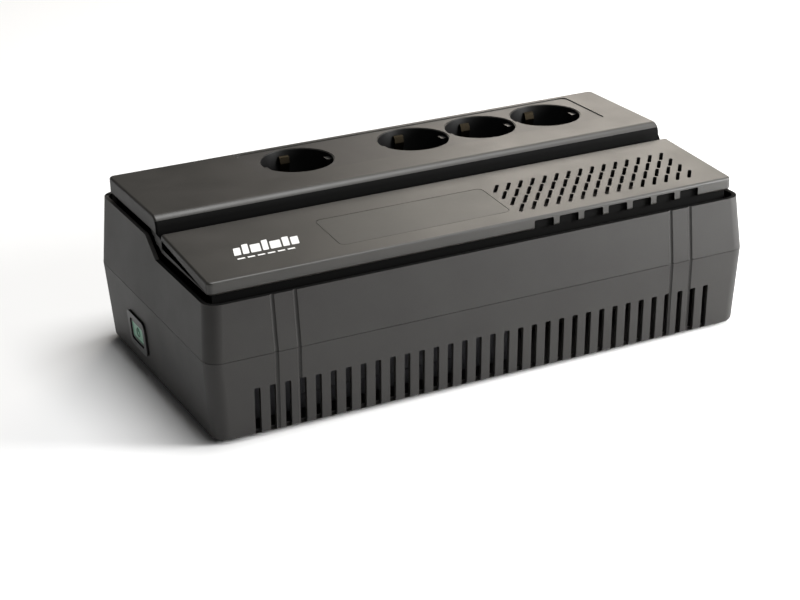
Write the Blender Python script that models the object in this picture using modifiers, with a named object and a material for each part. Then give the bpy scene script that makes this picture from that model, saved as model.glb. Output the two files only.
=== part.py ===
"""Uninterruptible power supply: a low desktop case with four side-earth sockets.

Frame: metres, +Z up, origin at the centre of the bounding box on the surface the
unit stands on.  X runs along the length, the long side with the ventilation slots
faces -Y and the end with the power button faces -X.
"""
import math

import bmesh
import bpy
from mathutils import Matrix, Vector

MM = 0.001

# ---- overall size -----------------------------------------------------------
LENGTH = 305.0            # along X, at the parting line
DEPTH = 161.0             # along Y, at the parting line
HEIGHT = 93.0             # top of the socket strip above the surface
FOOT = 1.5                # rubber feet stand this much proud of the floor
PARTING = 44.0            # height of the line between the two housings
WALL = 2.2
GAP = 0.3                 # clearance between pieces that touch
SEAM = 0.25               # half of the gap between the housings, at their outer faces
CORNER = 8.0              # plan radius of the housings
LOWER_TAPER = 2.6         # inset of the floor from the parting line
UPPER_TAPER = 2.9         # inset at RIM_REAR from the parting line

# ---- rim of the upper housing -------------------------------------------------
RIM_FRONT = 72.8
RIM_REAR = 81.3
RIM_STEP = (-8.0, 7.0)    # the rim climbs between these Y positions

# ---- top cover ----------------------------------------------------------------
COVER_X = 147.1           # half length
COVER_FRONT = -72.8
COVER_BACK = 69.5
COVER_WALL = 2.4
STRIP_FRONT_Z = 82.2      # front edge of the front strip
STRIP_REAR_Z = 86.5       # rear edge of the front strip
CHANNEL = (-9.2, -3.4)    # the channel between the strips
CHANNEL_Z = 80.0
SKIRT_FRONT_Z = 74.5      # lower edge of the cover's skirt
SKIRT_REAR_Z = 82.6
FLANGE_Z = (64.6, 66.6)   # ledge inside the upper housing
COLLAR_TOP = 77.2
COLLAR_REAR_TOP = 88.5
COLLAR_WALL = 1.8

# ---- ventilation ----------------------------------------------------------------
SLOT_COUNT = 33
SLOT_PITCH = 8.0
SLOT_WIDTH = 3.2
SLOT_Z = (4.2, 27.2)
BAND_X = (105.6, 116.6)   # pairs of shallow vertical grooves
BAND_WIDTH = 1.8
BAND_DEPTH = 0.8
VENT_COLUMNS = 15
VENT_PITCH = 7.23
VENT_X0 = 28.3
VENT_ROWS = (-32.2, -41.2, -50.2, -59.2)
VENT_LEAN = math.radians(36.0)
VENT_SIZE = (2.6, 9.0)
WINDOW_COUNT = 7          # shallow windows along the skirt under the vents
WINDOW_PITCH = 14.46
WINDOW_X0 = 33.6

LABEL_X = (-73.0, 21.5)   # recess for the label film, left of the vents
LABEL_Y = (-61.0, -28.0)

# ---- sockets --------------------------------------------------------------------
SOCKET_X = (-50.5, 18.5, 60.0, 101.5)
SOCKET_Y = 43.5
WELL_R = 19.6
WELL_WALL = 1.0
WELL_DEPTH = 17.5
WELL_FLOOR = 2.5
PIN_PITCH = 19.0
PIN_R = 2.6
INSERT_X = (-77.5, 127.5)
INSERT_Y = (21.0, 66.0)
INSERT_TOP = 92.5
INSERT_THICK = 2.2
LEDGE = 1.5               # the thicker part of the cover starts this far before the insert
LEDGE_Z = 88.9            # its underside
SHUTTER_TRAVEL = 6.0

# ---- power button ---------------------------------------------------------------
BUTTON_Y = 26.0
BUTTON_Z = 21.0
BUTTON_SIZE = (18.0, 11.0)
BUTTON_TRAVEL = 1.5

# ---- mains side (the +X end) ------------------------------------------------------
INLET_Y = 14.0
INLET_Z = 23.0
BREAKER_Y = 48.0
BREAKER_Z = 23.0
BREAKER_TRAVEL = 3.0

# ---- inside -----------------------------------------------------------------------
BATTERY_X = (-132.0, 19.0)
BATTERY_Y = (-66.5, 27.5)
BATTERY_Z = (4.1, 69.1)
CORE_CENTRE = (76.0, -22.0, 39.0)
CORE_SIZE = (78.0, 42.0, 65.0)
BOARD_X = (-100.0, 118.0)
BOARD_Y = (34.0, 72.0)
BOARD_Z = (10.0, 11.6)
POSTS = ((-139.0, -67.5), (-139.0, 69.5), (139.0, -67.5), (139.0, 69.5))

FLOOR_TOP = FOOT + WALL


# ---- collections and materials ------------------------------------------------------
for old in list(bpy.data.objects):
    bpy.data.objects.remove(old, do_unlink=True)

scene = bpy.context.scene
parts = bpy.data.collections.new("uninterruptible_power_supply")
cutters = bpy.data.collections.new("cutters")
scene.collection.children.link(parts)
scene.collection.children.link(cutters)


def material(name, colour, roughness, metallic=0.0):
    mat = bpy.data.materials.new(name)
    mat.use_nodes = True
    shader = mat.node_tree.nodes["Principled BSDF"]
    shader.inputs["Base Color"].default_value = (*colour, 1.0)
    shader.inputs["Roughness"].default_value = roughness
    shader.inputs["Metallic"].default_value = metallic
    mat.diffuse_color = (*colour, 1.0)
    return mat


CASE = material("charcoal_abs", (0.030, 0.029, 0.028), 0.55)
COVER = material("charcoal_abs_satin", (0.034, 0.032, 0.030), 0.42)
SOCKET = material("black_polycarbonate", (0.008, 0.008, 0.008), 0.40)
LENS = material("green_lit_lens", (0.16, 0.62, 0.38), 0.25)
RUBBER = material("black_rubber", (0.012, 0.012, 0.012), 0.85)
STEEL = material("zinc_plated_steel", (0.55, 0.55, 0.52), 0.35, 1.0)
BRASS = material("nickel_plated_brass", (0.62, 0.58, 0.48), 0.30, 1.0)
ALUMINIUM = material("extruded_aluminium", (0.60, 0.61, 0.62), 0.40, 1.0)
LAMINATION = material("silicon_steel_laminations", (0.20, 0.19, 0.18), 0.50, 0.8)
WINDING = material("varnished_copper_winding", (0.42, 0.20, 0.07), 0.40)
BATTERY = material("dark_grey_battery_abs", (0.060, 0.062, 0.066), 0.60)
BOARD = material("green_glass_epoxy_board", (0.025, 0.13, 0.06), 0.45)
CHIP = material("black_epoxy", (0.015, 0.015, 0.016), 0.50)
SLEEVE = material("blue_capacitor_sleeve", (0.03, 0.06, 0.22), 0.35)
RELAY = material("blue_relay_case", (0.02, 0.11, 0.32), 0.40)
FILM = material("matt_black_label_film", (0.040, 0.038, 0.036), 0.50)
RED_WIRE = material("red_pvc", (0.50, 0.015, 0.012), 0.45)
BLACK_WIRE = material("black_pvc", (0.012, 0.012, 0.012), 0.45)
RED_TAB = material("red_marked_terminal", (0.55, 0.10, 0.08), 0.35, 0.6)


# ---- shape helpers: all lengths in millimetres ------------------------------------------
def add_box(bm, x, y, z):
    """A box between the given (low, high) pairs; returns its vertices."""
    size = Vector((x[1] - x[0], y[1] - y[0], z[1] - z[0])) * MM
    centre = Vector((x[0] + x[1], y[0] + y[1], z[0] + z[1])) * MM / 2
    matrix = Matrix.Translation(centre) @ Matrix.Diagonal((*size, 1.0))
    return bmesh.ops.create_cube(bm, size=1.0, matrix=matrix)["verts"]


def add_rod(bm, centre, radius, length, axis="Z", segments=24, radius2=None):
    """A cylinder or cone centred on a point, along one of the axes."""
    turn = {"Z": Matrix.Identity(4),
            "X": Matrix.Rotation(math.pi / 2, 4, "Y"),
            "Y": Matrix.Rotation(math.pi / 2, 4, "X")}[axis]
    matrix = Matrix.Translation(Vector(centre) * MM) @ turn
    top = radius if radius2 is None else radius2
    return bmesh.ops.create_cone(bm, cap_ends=True, segments=segments, radius1=radius * MM,
                                 radius2=top * MM, depth=length * MM, matrix=matrix)["verts"]


def turn_about(bm, verts, pivot, angle, axis):
    matrix = Matrix.Rotation(angle, 3, axis)
    bmesh.ops.rotate(bm, verts=verts, cent=Vector(pivot) * MM, matrix=matrix)


def finish(name, bm, mat=None, origin=(0.0, 0.0, 0.0), smooth=False):
    """Turn a bmesh into a part (with a material) or a cutter (without one)."""
    origin = Vector(origin) * MM
    bmesh.ops.translate(bm, verts=bm.verts, vec=-origin)
    bmesh.ops.recalc_face_normals(bm, faces=bm.faces)
    mesh = bpy.data.meshes.new(name)
    bm.to_mesh(mesh)
    bm.free()
    obj = bpy.data.objects.new(name, mesh)
    obj.location = origin
    if mat is None:
        obj.hide_render = True
        obj.display_type = "WIRE"
        cutters.objects.link(obj)
    else:
        mesh.materials.append(mat)
        parts.objects.link(obj)
    if smooth:
        mesh.shade_smooth()
        mesh.set_sharp_from_angle(angle=math.radians(35))
    return obj


def boolean(obj, other, operation="DIFFERENCE"):
    mod = obj.modifiers.new(operation.lower() + "_" + other.name, "BOOLEAN")
    mod.operation = operation
    mod.solver = "EXACT"
    mod.object = other
    return mod


def bevel_edges(bm, test, width, segments):
    edges = [e for e in bm.edges if test(*(v.co / MM for v in e.verts))]
    bmesh.ops.bevel(bm, geom=edges, offset=width * MM, offset_type="OFFSET", segments=segments,
                    profile=0.5, affect="EDGES", clamp_overlap=True)


def is_vertical(a, b):
    return abs(a.x - b.x) < 4 and abs(a.y - b.y) < 4 and abs(a.z - b.z) > 4


def box_part(name, x, y, z, mat, bevel=0.0, origin=(0.0, 0.0, 0.0)):
    bm = bmesh.new()
    add_box(bm, x, y, z)
    if bevel:
        bmesh.ops.bevel(bm, geom=bm.edges[:], offset=bevel * MM, offset_type="OFFSET",
                        segments=2, profile=0.5, affect="EDGES")
    return finish(name, bm, mat, origin)


def rod_part(name, centre, radius, length, mat, axis="Z", segments=24, bevel=0.0,
             origin=(0.0, 0.0, 0.0)):
    bm = bmesh.new()
    add_rod(bm, centre, radius, length, axis, segments)
    if bevel:
        rims = [e for e in bm.edges if len(e.link_faces) == 2
                and e.calc_face_angle(0.0) > 1.0]
        bmesh.ops.bevel(bm, geom=rims, offset=bevel * MM, offset_type="OFFSET", segments=2,
                        profile=0.5, affect="EDGES")
    return finish(name, bm, mat, origin, smooth=True)


def outline_mesh(bm, points, x):
    """Extrude a closed Y-Z outline along X, from x[0] to x[1]."""
    curve = bpy.data.curves.new("outline", "CURVE")
    curve.dimensions = "2D"
    curve.fill_mode = "BOTH"
    curve.extrude = (x[1] - x[0]) * MM / 2
    spline = curve.splines.new("POLY")
    spline.points.add(len(points) - 1)
    for point, (y, z) in zip(spline.points, points):
        point.co = (y * MM, z * MM, 0.0, 1.0)
    spline.use_cyclic_u = True
    temp = bpy.data.objects.new("outline", curve)
    scene.collection.objects.link(temp)
    evaluated = temp.evaluated_get(bpy.context.evaluated_depsgraph_get())
    mesh = bpy.data.meshes.new_from_object(evaluated)
    bpy.data.objects.remove(temp)
    bpy.data.curves.remove(curve)
    bm.from_mesh(mesh)
    bpy.data.meshes.remove(mesh)
    bmesh.ops.remove_doubles(bm, verts=bm.verts, dist=0.00001)
    bmesh.ops.dissolve_limit(bm, angle_limit=0.001, verts=bm.verts, edges=bm.edges)
    # the curve's plane (x, y, z) becomes the part's (y, z, x)
    swap = Matrix(((0, 0, 1, (x[0] + x[1]) * MM / 2), (1, 0, 0, 0), (0, 1, 0, 0), (0, 0, 0, 1)))
    bm.transform(swap)
    return bm


def tube(name, points, radius, mat):
    """A round wire through points, read off a smooth curve through them."""
    path = [Vector(p) for p in points]
    fine = []
    for i in range(len(path) - 1):
        before = path[max(i - 1, 0)]
        after = path[min(i + 2, len(path) - 1)]
        for step in range(5):
            t = step / 5
            a, b, c, d = before, path[i], path[i + 1], after
            fine.append(0.5 * ((2 * b) + (c - a) * t + (2 * a - 5 * b + 4 * c - d) * t * t
                               + (3 * b - a - 3 * c + d) * t ** 3))
    fine.append(path[-1])
    curve = bpy.data.curves.new(name, "CURVE")
    curve.dimensions = "3D"
    curve.bevel_depth = radius * MM
    curve.bevel_resolution = 2
    curve.use_fill_caps = True
    spline = curve.splines.new("POLY")
    spline.points.add(len(fine) - 1)
    for point, co in zip(spline.points, fine):
        point.co = (*(co * MM), 1.0)
    obj = bpy.data.objects.new(name, curve)
    curve.materials.append(mat)
    parts.objects.link(obj)
    return obj


# ---- housings ---------------------------------------------------------------------------
def shell(name, z, inset_low, inset_high, keep_floor):
    """An open tapered box, later given its wall by Solidify."""
    bm = bmesh.new()
    hx, hy = LENGTH / 2, DEPTH / 2
    add_box(bm, (-hx, hx), (-hy, hy), z)
    for vert in bm.verts:
        inset = inset_low if vert.co.z < (z[0] + z[1]) / 2 * MM else inset_high
        vert.co.x -= math.copysign(inset * MM, vert.co.x)
        vert.co.y -= math.copysign(inset * MM, vert.co.y)
    bevel_edges(bm, is_vertical, CORNER, 5)
    if keep_floor:
        bevel_edges(bm, lambda a, b: max(a.z, b.z) < z[0] + 0.1, 2.6, 3)
    flat = [f for f in bm.faces if f.normal.z > 0.9 or (f.normal.z < -0.9 and not keep_floor)]
    bmesh.ops.delete(bm, geom=flat, context="FACES_ONLY")
    obj = finish(name, bm, CASE)
    solid = obj.modifiers.new("wall", "SOLIDIFY")
    solid.thickness = WALL * MM
    solid.offset = -1.0
    solid.use_even_offset = True
    return obj


def side_bands(name, z, pivot_z, slope):
    """Cutter for the pairs of shallow grooves on both long sides."""
    bm = bmesh.new()
    for side in (-1, 1):
        for x in BAND_X:
            for mirror in (-1, 1):
                near = DEPTH / 2 - BAND_DEPTH
                y = (side * near, side * (near + 6)) if side > 0 else (-near - 6, -near)
                centre = mirror * x
                verts = add_box(bm, (centre - BAND_WIDTH / 2, centre + BAND_WIDTH / 2), y, z)
                turn_about(bm, verts, (0, side * DEPTH / 2, pivot_z), side * slope, "X")
    return finish(name, bm)


lower = shell("lower_housing", (FOOT, PARTING - SEAM), LOWER_TAPER, 0.0, True)
lower_slope = math.atan(LOWER_TAPER / (PARTING - FOOT))
upper_slope = math.atan(UPPER_TAPER / (RIM_REAR - PARTING))

bm = bmesh.new()
for side in (-1, 1):
    for i in range(SLOT_COUNT):
        x = (i - (SLOT_COUNT - 1) / 2) * SLOT_PITCH
        y = sorted((side * (DEPTH / 2 - 8), side * (DEPTH / 2 + 4)))
        add_box(bm, (x - SLOT_WIDTH / 2, x + SLOT_WIDTH / 2), y, SLOT_Z)
boolean(lower, finish("cut_side_slots", bm))
boolean(lower, side_bands("cut_lower_bands", (-6, 60), PARTING, -lower_slope))

# bosses for the housing screws, the battery bay and the board's rests
bm = bmesh.new()
for x, y in POSTS:
    add_rod(bm, (x, y, (FOOT + PARTING) / 2), 4.2, PARTING - FOOT - GAP, segments=16)
bosses = finish("join_lower_bosses", bm)
boolean(lower, bosses, "UNION")
bm = bmesh.new()
rib_z = (FLOOR_TOP - 1.0, FLOOR_TOP + 16.0)
add_box(bm, (BATTERY_X[1] + GAP, BATTERY_X[1] + 2.0), (-40, 10), rib_z)
add_box(bm, (BATTERY_X[0] - 2.0, BATTERY_X[0] - GAP), (-40, 8), rib_z)
add_box(bm, (-70, -20), (BATTERY_Y[1] + GAP, BATTERY_Y[1] + 2.0), rib_z)
for x in (BOARD_X[0] + 6, 8.0, BOARD_X[1] - 6):
    for y in (BOARD_Y[0] + 5, BOARD_Y[1] - 4):
        add_box(bm, (x - 2, x + 2), (y - 2, y + 2), (FLOOR_TOP - 1.0, BOARD_Z[0] - GAP))
boolean(lower, finish("join_lower_ribs", bm), "UNION")

bm = bmesh.new()
for x, y in POSTS:
    add_rod(bm, (x, y, 8.0), 3.4, 16.0, segments=16)
boolean(lower, finish("cut_lower_screw_recesses", bm))
bm = bmesh.new()
for x, y in POSTS:
    add_rod(bm, (x, y, 30.0), 1.7, 40.0, segments=12)
boolean(lower, finish("cut_lower_screw_bores", bm))
# openings for the button, the inlet and the breaker
bm = bmesh.new()
add_box(bm, (-160, -140), (BUTTON_Y - 11.5, BUTTON_Y + 11.5), (BUTTON_Z - 8.0, BUTTON_Z + 8.0))
add_box(bm, (140, 160), (INLET_Y - 14.0, INLET_Y + 14.0), (INLET_Z - 10.3, INLET_Z + 10.3))
add_rod(bm, (150, BREAKER_Y, BREAKER_Z), 6.3, 20.0, "X")
boolean(lower, finish("cut_end_openings", bm))

upper = shell("upper_housing", (PARTING + SEAM, RIM_REAR), 0.0, UPPER_TAPER, False)
boolean(upper, side_bands("cut_upper_bands", (20, 100), PARTING, upper_slope))
bm = bmesh.new()
outline_mesh(bm, [(-100, RIM_FRONT), (RIM_STEP[0], RIM_FRONT), (RIM_STEP[1], RIM_REAR),
                  (RIM_STEP[1], 110), (-100, 110)], (-200, 200))
boolean(upper, finish("cut_rim_step", bm))


def ring(bm, outer_x, outer_y, inner_x, inner_y, z):
    """A rectangular frame: a face with a hole, pulled up to its height."""
    corners = []
    for x, y in ((outer_x, outer_y), (inner_x, inner_y)):
        corners.append([bm.verts.new((sx * MM, sy * MM, z[0] * MM))
                        for sx, sy in ((x[0], y[0]), (x[1], y[0]), (x[1], y[1]), (x[0], y[1]))])
    faces = []
    for i in range(4):
        j = (i + 1) % 4
        faces.append(bm.faces.new((corners[0][i], corners[0][j], corners[1][j], corners[1][i])))
    pulled = bmesh.ops.extrude_face_region(bm, geom=faces)["geom"]
    moved = [g for g in pulled if isinstance(g, bmesh.types.BMVert)]
    bmesh.ops.translate(bm, verts=moved, vec=(0, 0, (z[1] - z[0]) * MM))


collar_x = COVER_X - COVER_WALL - GAP
collar_y = (COVER_FRONT + COVER_WALL + GAP, COVER_BACK - COVER_WALL - GAP)
inner_x = (-collar_x + COLLAR_WALL, collar_x - COLLAR_WALL)
inner_y = (collar_y[0] + COLLAR_WALL, collar_y[1] - COLLAR_WALL)
bm = bmesh.new()
ring(bm, (-149.6, 149.6), (-77.6, 77.6), inner_x, inner_y, FLANGE_Z)
bevel_edges(bm, lambda a, b: abs(a.z - b.z) > 1 and abs(a.x) > 149 and abs(a.x - b.x) < 1, 7.0, 4)
flange = finish("join_flange", bm)
boolean(upper, flange, "UNION")
bm = bmesh.new()
ring(bm, (-collar_x, collar_x), collar_y, inner_x, inner_y, (FLANGE_Z[0], COLLAR_TOP))
boolean(upper, finish("join_collar", bm), "UNION")
# the rear part of the collar stands higher, under the socket strip
bm = bmesh.new()
ring(bm, (-collar_x, collar_x), (CHANNEL[1] + COVER_WALL + 1.5, collar_y[1]), inner_x,
     (CHANNEL[1] + COVER_WALL + 3.3, inner_y[1]), (COLLAR_TOP - 1.0, COLLAR_REAR_TOP))
boolean(upper, finish("join_rear_collar", bm), "UNION")
bm = bmesh.new()
for x, y in POSTS:
    add_rod(bm, (x, y, (PARTING + FLANGE_Z[1]) / 2), 4.2, FLANGE_Z[1] - PARTING - GAP, segments=16)
boolean(upper, finish("join_upper_bosses", bm), "UNION")
bm = bmesh.new()
for x, y in POSTS:
    add_rod(bm, (x, y, 50.0), 1.7, 22.0, segments=12)
boolean(upper, finish("cut_upper_screw_bores", bm))

# ---- top cover --------------------------------------------------------------------------
bm = bmesh.new()
outline_mesh(bm, [(COVER_FRONT, SKIRT_FRONT_Z), (CHANNEL[0], SKIRT_FRONT_Z),
                  (RIM_STEP[1] - 1.0, SKIRT_REAR_Z), (COVER_BACK, SKIRT_REAR_Z),
                  (COVER_BACK, HEIGHT), (CHANNEL[1], HEIGHT), (CHANNEL[1], CHANNEL_Z),
                  (CHANNEL[0], CHANNEL_Z), (CHANNEL[0], STRIP_REAR_Z),
                  (COVER_FRONT, STRIP_FRONT_Z)], (-COVER_X, COVER_X))
bevel_edges(bm, lambda a, b: is_vertical(a, b) and (a.y < COVER_FRONT + 1 or a.y > COVER_BACK - 1),
            3.0, 3)


def on_top(co):
    if co.y > CHANNEL[1] - 0.1:
        return abs(co.z - HEIGHT) < 0.05
    slope = (STRIP_REAR_Z - STRIP_FRONT_Z) / (CHANNEL[0] - COVER_FRONT)
    return abs(co.z - (STRIP_FRONT_Z + (co.y - COVER_FRONT) * slope)) < 0.05


bevel_edges(bm, lambda a, b: on_top(a) and on_top(b) and (a.y - CHANNEL[1]) * (b.y - CHANNEL[1])
            >= -0.01, 1.6, 3)
cover = finish("top_cover", bm, COVER)

strip_slope = (STRIP_REAR_Z - STRIP_FRONT_Z) / (CHANNEL[0] - COVER_FRONT)
in_front = COVER_FRONT + COVER_WALL
in_back = COVER_BACK - COVER_WALL
in_ch = (CHANNEL[0] - COVER_WALL, CHANNEL[1] + COVER_WALL)
bm = bmesh.new()
outline_mesh(bm, [(in_front, 60), (in_back, 60), (in_back, LEDGE_Z),
                  (INSERT_Y[0] - LEDGE, LEDGE_Z), (INSERT_Y[0] - LEDGE, HEIGHT - COVER_WALL),
                  (in_ch[1], HEIGHT - COVER_WALL), (in_ch[1], CHANNEL_Z - COVER_WALL),
                  (in_ch[0], CHANNEL_Z - COVER_WALL), (in_ch[0], STRIP_REAR_Z - COVER_WALL),
                  (in_front, STRIP_FRONT_Z - COVER_WALL)],
             (-COVER_X + COVER_WALL, COVER_X - COVER_WALL))
boolean(cover, finish("cut_cover_hollow", bm))

# slanted ventilation slots through the front strip
strip_angle = math.atan(strip_slope)
bm = bmesh.new()
for row in VENT_ROWS:
    for column in range(VENT_COLUMNS):
        x = VENT_X0 + column * VENT_PITCH
        verts = add_box(bm, (x - VENT_SIZE[0] / 2, x + VENT_SIZE[0] / 2),
                        (row - VENT_SIZE[1] / 2, row + VENT_SIZE[1] / 2), (76, 92))
        turn_about(bm, verts, (x, row, 84), -VENT_LEAN, "Z")
boolean(cover, finish("cut_top_vents", bm))
# shallow windows in the skirt, under the vents, and the recess of the label film
bm = bmesh.new()
for i in range(WINDOW_COUNT):
    x = WINDOW_X0 + i * WINDOW_PITCH
    add_box(bm, (x - 5.6, x + 5.6), (COVER_FRONT - 4, COVER_FRONT + 0.9), (70, 80.2))
verts = add_box(bm, LABEL_X, LABEL_Y, (STRIP_FRONT_Z - 0.4, 100))
turn_about(bm, verts, (0, COVER_FRONT, STRIP_FRONT_Z), strip_angle, "X")
boolean(cover, finish("cut_windows_and_label", bm))
# the pocket that the outlet insert drops into; the cover is thicker under it
bm = bmesh.new()
add_box(bm, INSERT_X, INSERT_Y, (INSERT_TOP - INSERT_THICK - GAP, 100))
boolean(cover, finish("cut_insert_pocket", bm))

bm = bmesh.new()
verts = add_box(bm, (LABEL_X[0] + GAP, LABEL_X[1] - GAP), (LABEL_Y[0] + GAP, LABEL_Y[1] - GAP),
                (STRIP_FRONT_Z - 0.3, STRIP_FRONT_Z - 0.05))
turn_about(bm, verts, (0, COVER_FRONT, STRIP_FRONT_Z), strip_angle, "X")
bevel_edges(bm, is_vertical, 3.0, 3)
finish("label_film", bm, FILM)


# ---- outlet insert and what hangs under it -------------------------------------------------
insert_bottom = INSERT_TOP - INSERT_THICK
well_bottom = INSERT_TOP - WELL_DEPTH - WELL_FLOOR
bm = bmesh.new()
add_box(bm, (INSERT_X[0] + GAP, INSERT_X[1] - GAP), (INSERT_Y[0] + GAP, INSERT_Y[1] - GAP),
        (insert_bottom, INSERT_TOP))
bevel_edges(bm, lambda a, b: abs(a.x - b.x) < 1 and abs(a.y - b.y) < 1, 3.0, 3)
insert = finish("outlet_insert", bm, SOCKET)
bm = bmesh.new()
for x in SOCKET_X[::2]:
    add_rod(bm, (x, SOCKET_Y, (well_bottom + INSERT_TOP - 0.5) / 2), WELL_R + WELL_WALL,
            INSERT_TOP - 0.5 - well_bottom, segments=36)
boolean(insert, finish("join_wells_a", bm), "UNION")
bm = bmesh.new()
for x in SOCKET_X[1::2]:
    add_rod(bm, (x, SOCKET_Y, (well_bottom + INSERT_TOP - 0.5) / 2), WELL_R + WELL_WALL,
            INSERT_TOP - 0.5 - well_bottom, segments=36)
boolean(insert, finish("join_wells_b", bm), "UNION")
bm = bmesh.new()
for x in SOCKET_X:
    add_rod(bm, (x, SOCKET_Y, INSERT_TOP - WELL_DEPTH + 20), WELL_R, 40.0, segments=36)
boolean(insert, finish("cut_wells", bm))
# guide ribs on the left and right of each well
bm = bmesh.new()
for x in SOCKET_X:
    for side in (-1, 1):
        rib = sorted((x + side * (WELL_R - 2.6), x + side * (WELL_R + 0.5)))
        add_box(bm, rib, (SOCKET_Y - 2.4, SOCKET_Y + 2.4),
                (INSERT_TOP - WELL_DEPTH - 1.0, INSERT_TOP - 1.2))
boolean(insert, finish("join_guide_ribs", bm), "UNION")
# pin holes and the slits that the earth springs come up through
bm = bmesh.new()
for x in SOCKET_X:
    for side in (-1, 1):
        add_rod(bm, (x + side * PIN_PITCH / 2, SOCKET_Y, well_bottom), PIN_R, 16.0, segments=16)
        slit = sorted((SOCKET_Y + side * (WELL_R - 3.4), SOCKET_Y + side * (WELL_R - 0.5)))
        add_box(bm, (x - 3.4, x + 3.4), slit, (well_bottom - 5, INSERT_TOP - WELL_DEPTH + 1))
boolean(insert, finish("cut_pin_holes", bm))

# hole through the cover below the insert, following the wells
bm = bmesh.new()
reach = WELL_R + WELL_WALL + 0.4
for x in ((SOCKET_X[0], SOCKET_X[0]), (SOCKET_X[1], SOCKET_X[3])):
    add_box(bm, (x[0] - reach, x[1] + reach), (SOCKET_Y - reach, SOCKET_Y + reach), (86, 96))
boolean(cover, finish("cut_well_holes", bm))

# earth springs: one bent strap for each socket, up both sides of its well
strap_z = well_bottom - 2.2
for i, x in enumerate(SOCKET_X, 1):
    arm = WELL_R - 1.7
    bm = bmesh.new()
    for side in (-1, 1):
        y = SOCKET_Y + side * arm
        add_box(bm, (x - 2.8, x + 2.8), (y - 0.4, y + 0.4), (strap_z, INSERT_TOP - 4.5))
    strap = finish("earth_strap_%d" % i, bm, BRASS)
    bm = bmesh.new()
    add_box(bm, (x - 2.8, x + 2.8), (SOCKET_Y - arm - 0.3, SOCKET_Y + arm + 0.3),
            (strap_z - 0.4, strap_z + 0.4))
    boolean(strap, finish("join_strap_%d" % i, bm), "UNION")

# safety shutters: a plate under each well floor that slides towards -Y
for i, x in enumerate(SOCKET_X, 1):
    box_part("socket_shutter_%d" % i, (x - 13.0, x + 13.0), (SOCKET_Y - 3.3, SOCKET_Y + 3.3),
             (well_bottom - 1.6, well_bottom - GAP), SOCKET, 0.0, (x, SOCKET_Y, well_bottom - 1.0))

# tray below the sockets, and the contact bars that lie in it
TRAY_Z = (48.5, 69.2)
bm = bmesh.new()
add_box(bm, (INSERT_X[0] + 1, INSERT_X[1] - 1), (31.5, 55.5), TRAY_Z)
tray = finish("contact_tray", bm, SOCKET)
bm = bmesh.new()
add_box(bm, (INSERT_X[0] + 2.6, -26.0), (33.1, 53.9), (TRAY_Z[0] + 1.5, 90))
add_box(bm, (-24.0, INSERT_X[1] - 2.6), (33.1, 53.9), (TRAY_Z[0] + 1.5, 90))
boolean(tray, finish("cut_tray", bm))
bm = bmesh.new()
add_box(bm, (-30.0, -20.0), (47.0, 51.0), (TRAY_Z[0] + 1.5, 90))
boolean(tray, finish("cut_tray_notch", bm))


def contact_bar(name, sockets, side, y):
    """A strip with a pair of upright blades below each pin hole."""
    z0 = TRAY_Z[0] + 1.5 + GAP
    pins = [x + side * PIN_PITCH / 2 for x in sockets]
    bar = box_part(name, (pins[0] - 5, pins[-1] + 5), y, (z0, z0 + 1.0), BRASS)
    bm = bmesh.new()
    for x in pins:
        reach = sorted((SOCKET_Y - side * 2.5, sum(y) / 2))
        add_box(bm, (x - 3.6, x + 3.6), reach, (z0, z0 + 1.0))
    boolean(bar, finish("join_tabs_" + name, bm), "UNION")
    bm = bmesh.new()
    for x in pins:
        for lean in (-1, 1):
            add_box(bm, sorted((x + lean * 2.7, x + lean * 3.5)),
                    (SOCKET_Y - 2.4, SOCKET_Y + 2.4), (z0 + 0.5, 68.6))
    boolean(bar, finish("join_blades_" + name, bm), "UNION")


contact_bar("neutral_bar", SOCKET_X, 1, (47.5, 50.5))
contact_bar("live_bar_backed", SOCKET_X[1:], -1, (36.5, 39.5))
contact_bar("live_bar_filtered", SOCKET_X[:1], -1, (36.5, 39.5))

# ---- power button on the -X end ------------------------------------------------------------
wall_x = LENGTH / 2 - LOWER_TAPER * (PARTING - BUTTON_Z) / (PARTING - FOOT)
pivot = (-wall_x, BUTTON_Y, BUTTON_Z)


def button_box(bm, depth, width, height, centre_y=BUTTON_Y):
    """A box on the end wall: depth is measured inwards from the wall's face."""
    verts = add_box(bm, (-wall_x + depth[0], -wall_x + depth[1]),
                    (centre_y - width / 2, centre_y + width / 2),
                    (BUTTON_Z - height / 2, BUTTON_Z + height / 2))
    turn_about(bm, verts, pivot, -lower_slope, "Y")
    return verts


bm = bmesh.new()
button_box(bm, (-1.2, -GAP), 26.0, 19.0)
bevel_edges(bm, lambda a, b: abs(a.x - b.x) > 0.5 and abs(a.y - b.y) < 1 and abs(a.z - b.z) < 1,
            3.5, 4)
bezel = finish("button_bezel", bm, SOCKET)
bm = bmesh.new()
button_box(bm, (-0.8, 9.0), 22.2, 15.2)
boolean(bezel, finish("join_bezel_sleeve", bm), "UNION")
bm = bmesh.new()
button_box(bm, (-5, 12), BUTTON_SIZE[0] + 1.2, BUTTON_SIZE[1] + 1.2)
bevel_edges(bm, lambda a, b: abs(a.x - b.x) > 5, 2.6, 3)
boolean(bezel, finish("cut_bezel", bm))
bm = bmesh.new()
button_box(bm, (-0.6, 5.5), *BUTTON_SIZE)
bevel_edges(bm, lambda a, b: abs(a.x - b.x) > 4, 2.2, 3)
button = finish("power_button", bm, LENS, pivot)
bm = bmesh.new()
verts = add_rod(bm, (-wall_x + 6.5, BUTTON_Y, BUTTON_Z), 1.5, 5.0, "X", 16)
turn_about(bm, verts, pivot, -lower_slope, "Y")
boolean(button, finish("join_button_stem", bm), "UNION")

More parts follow.
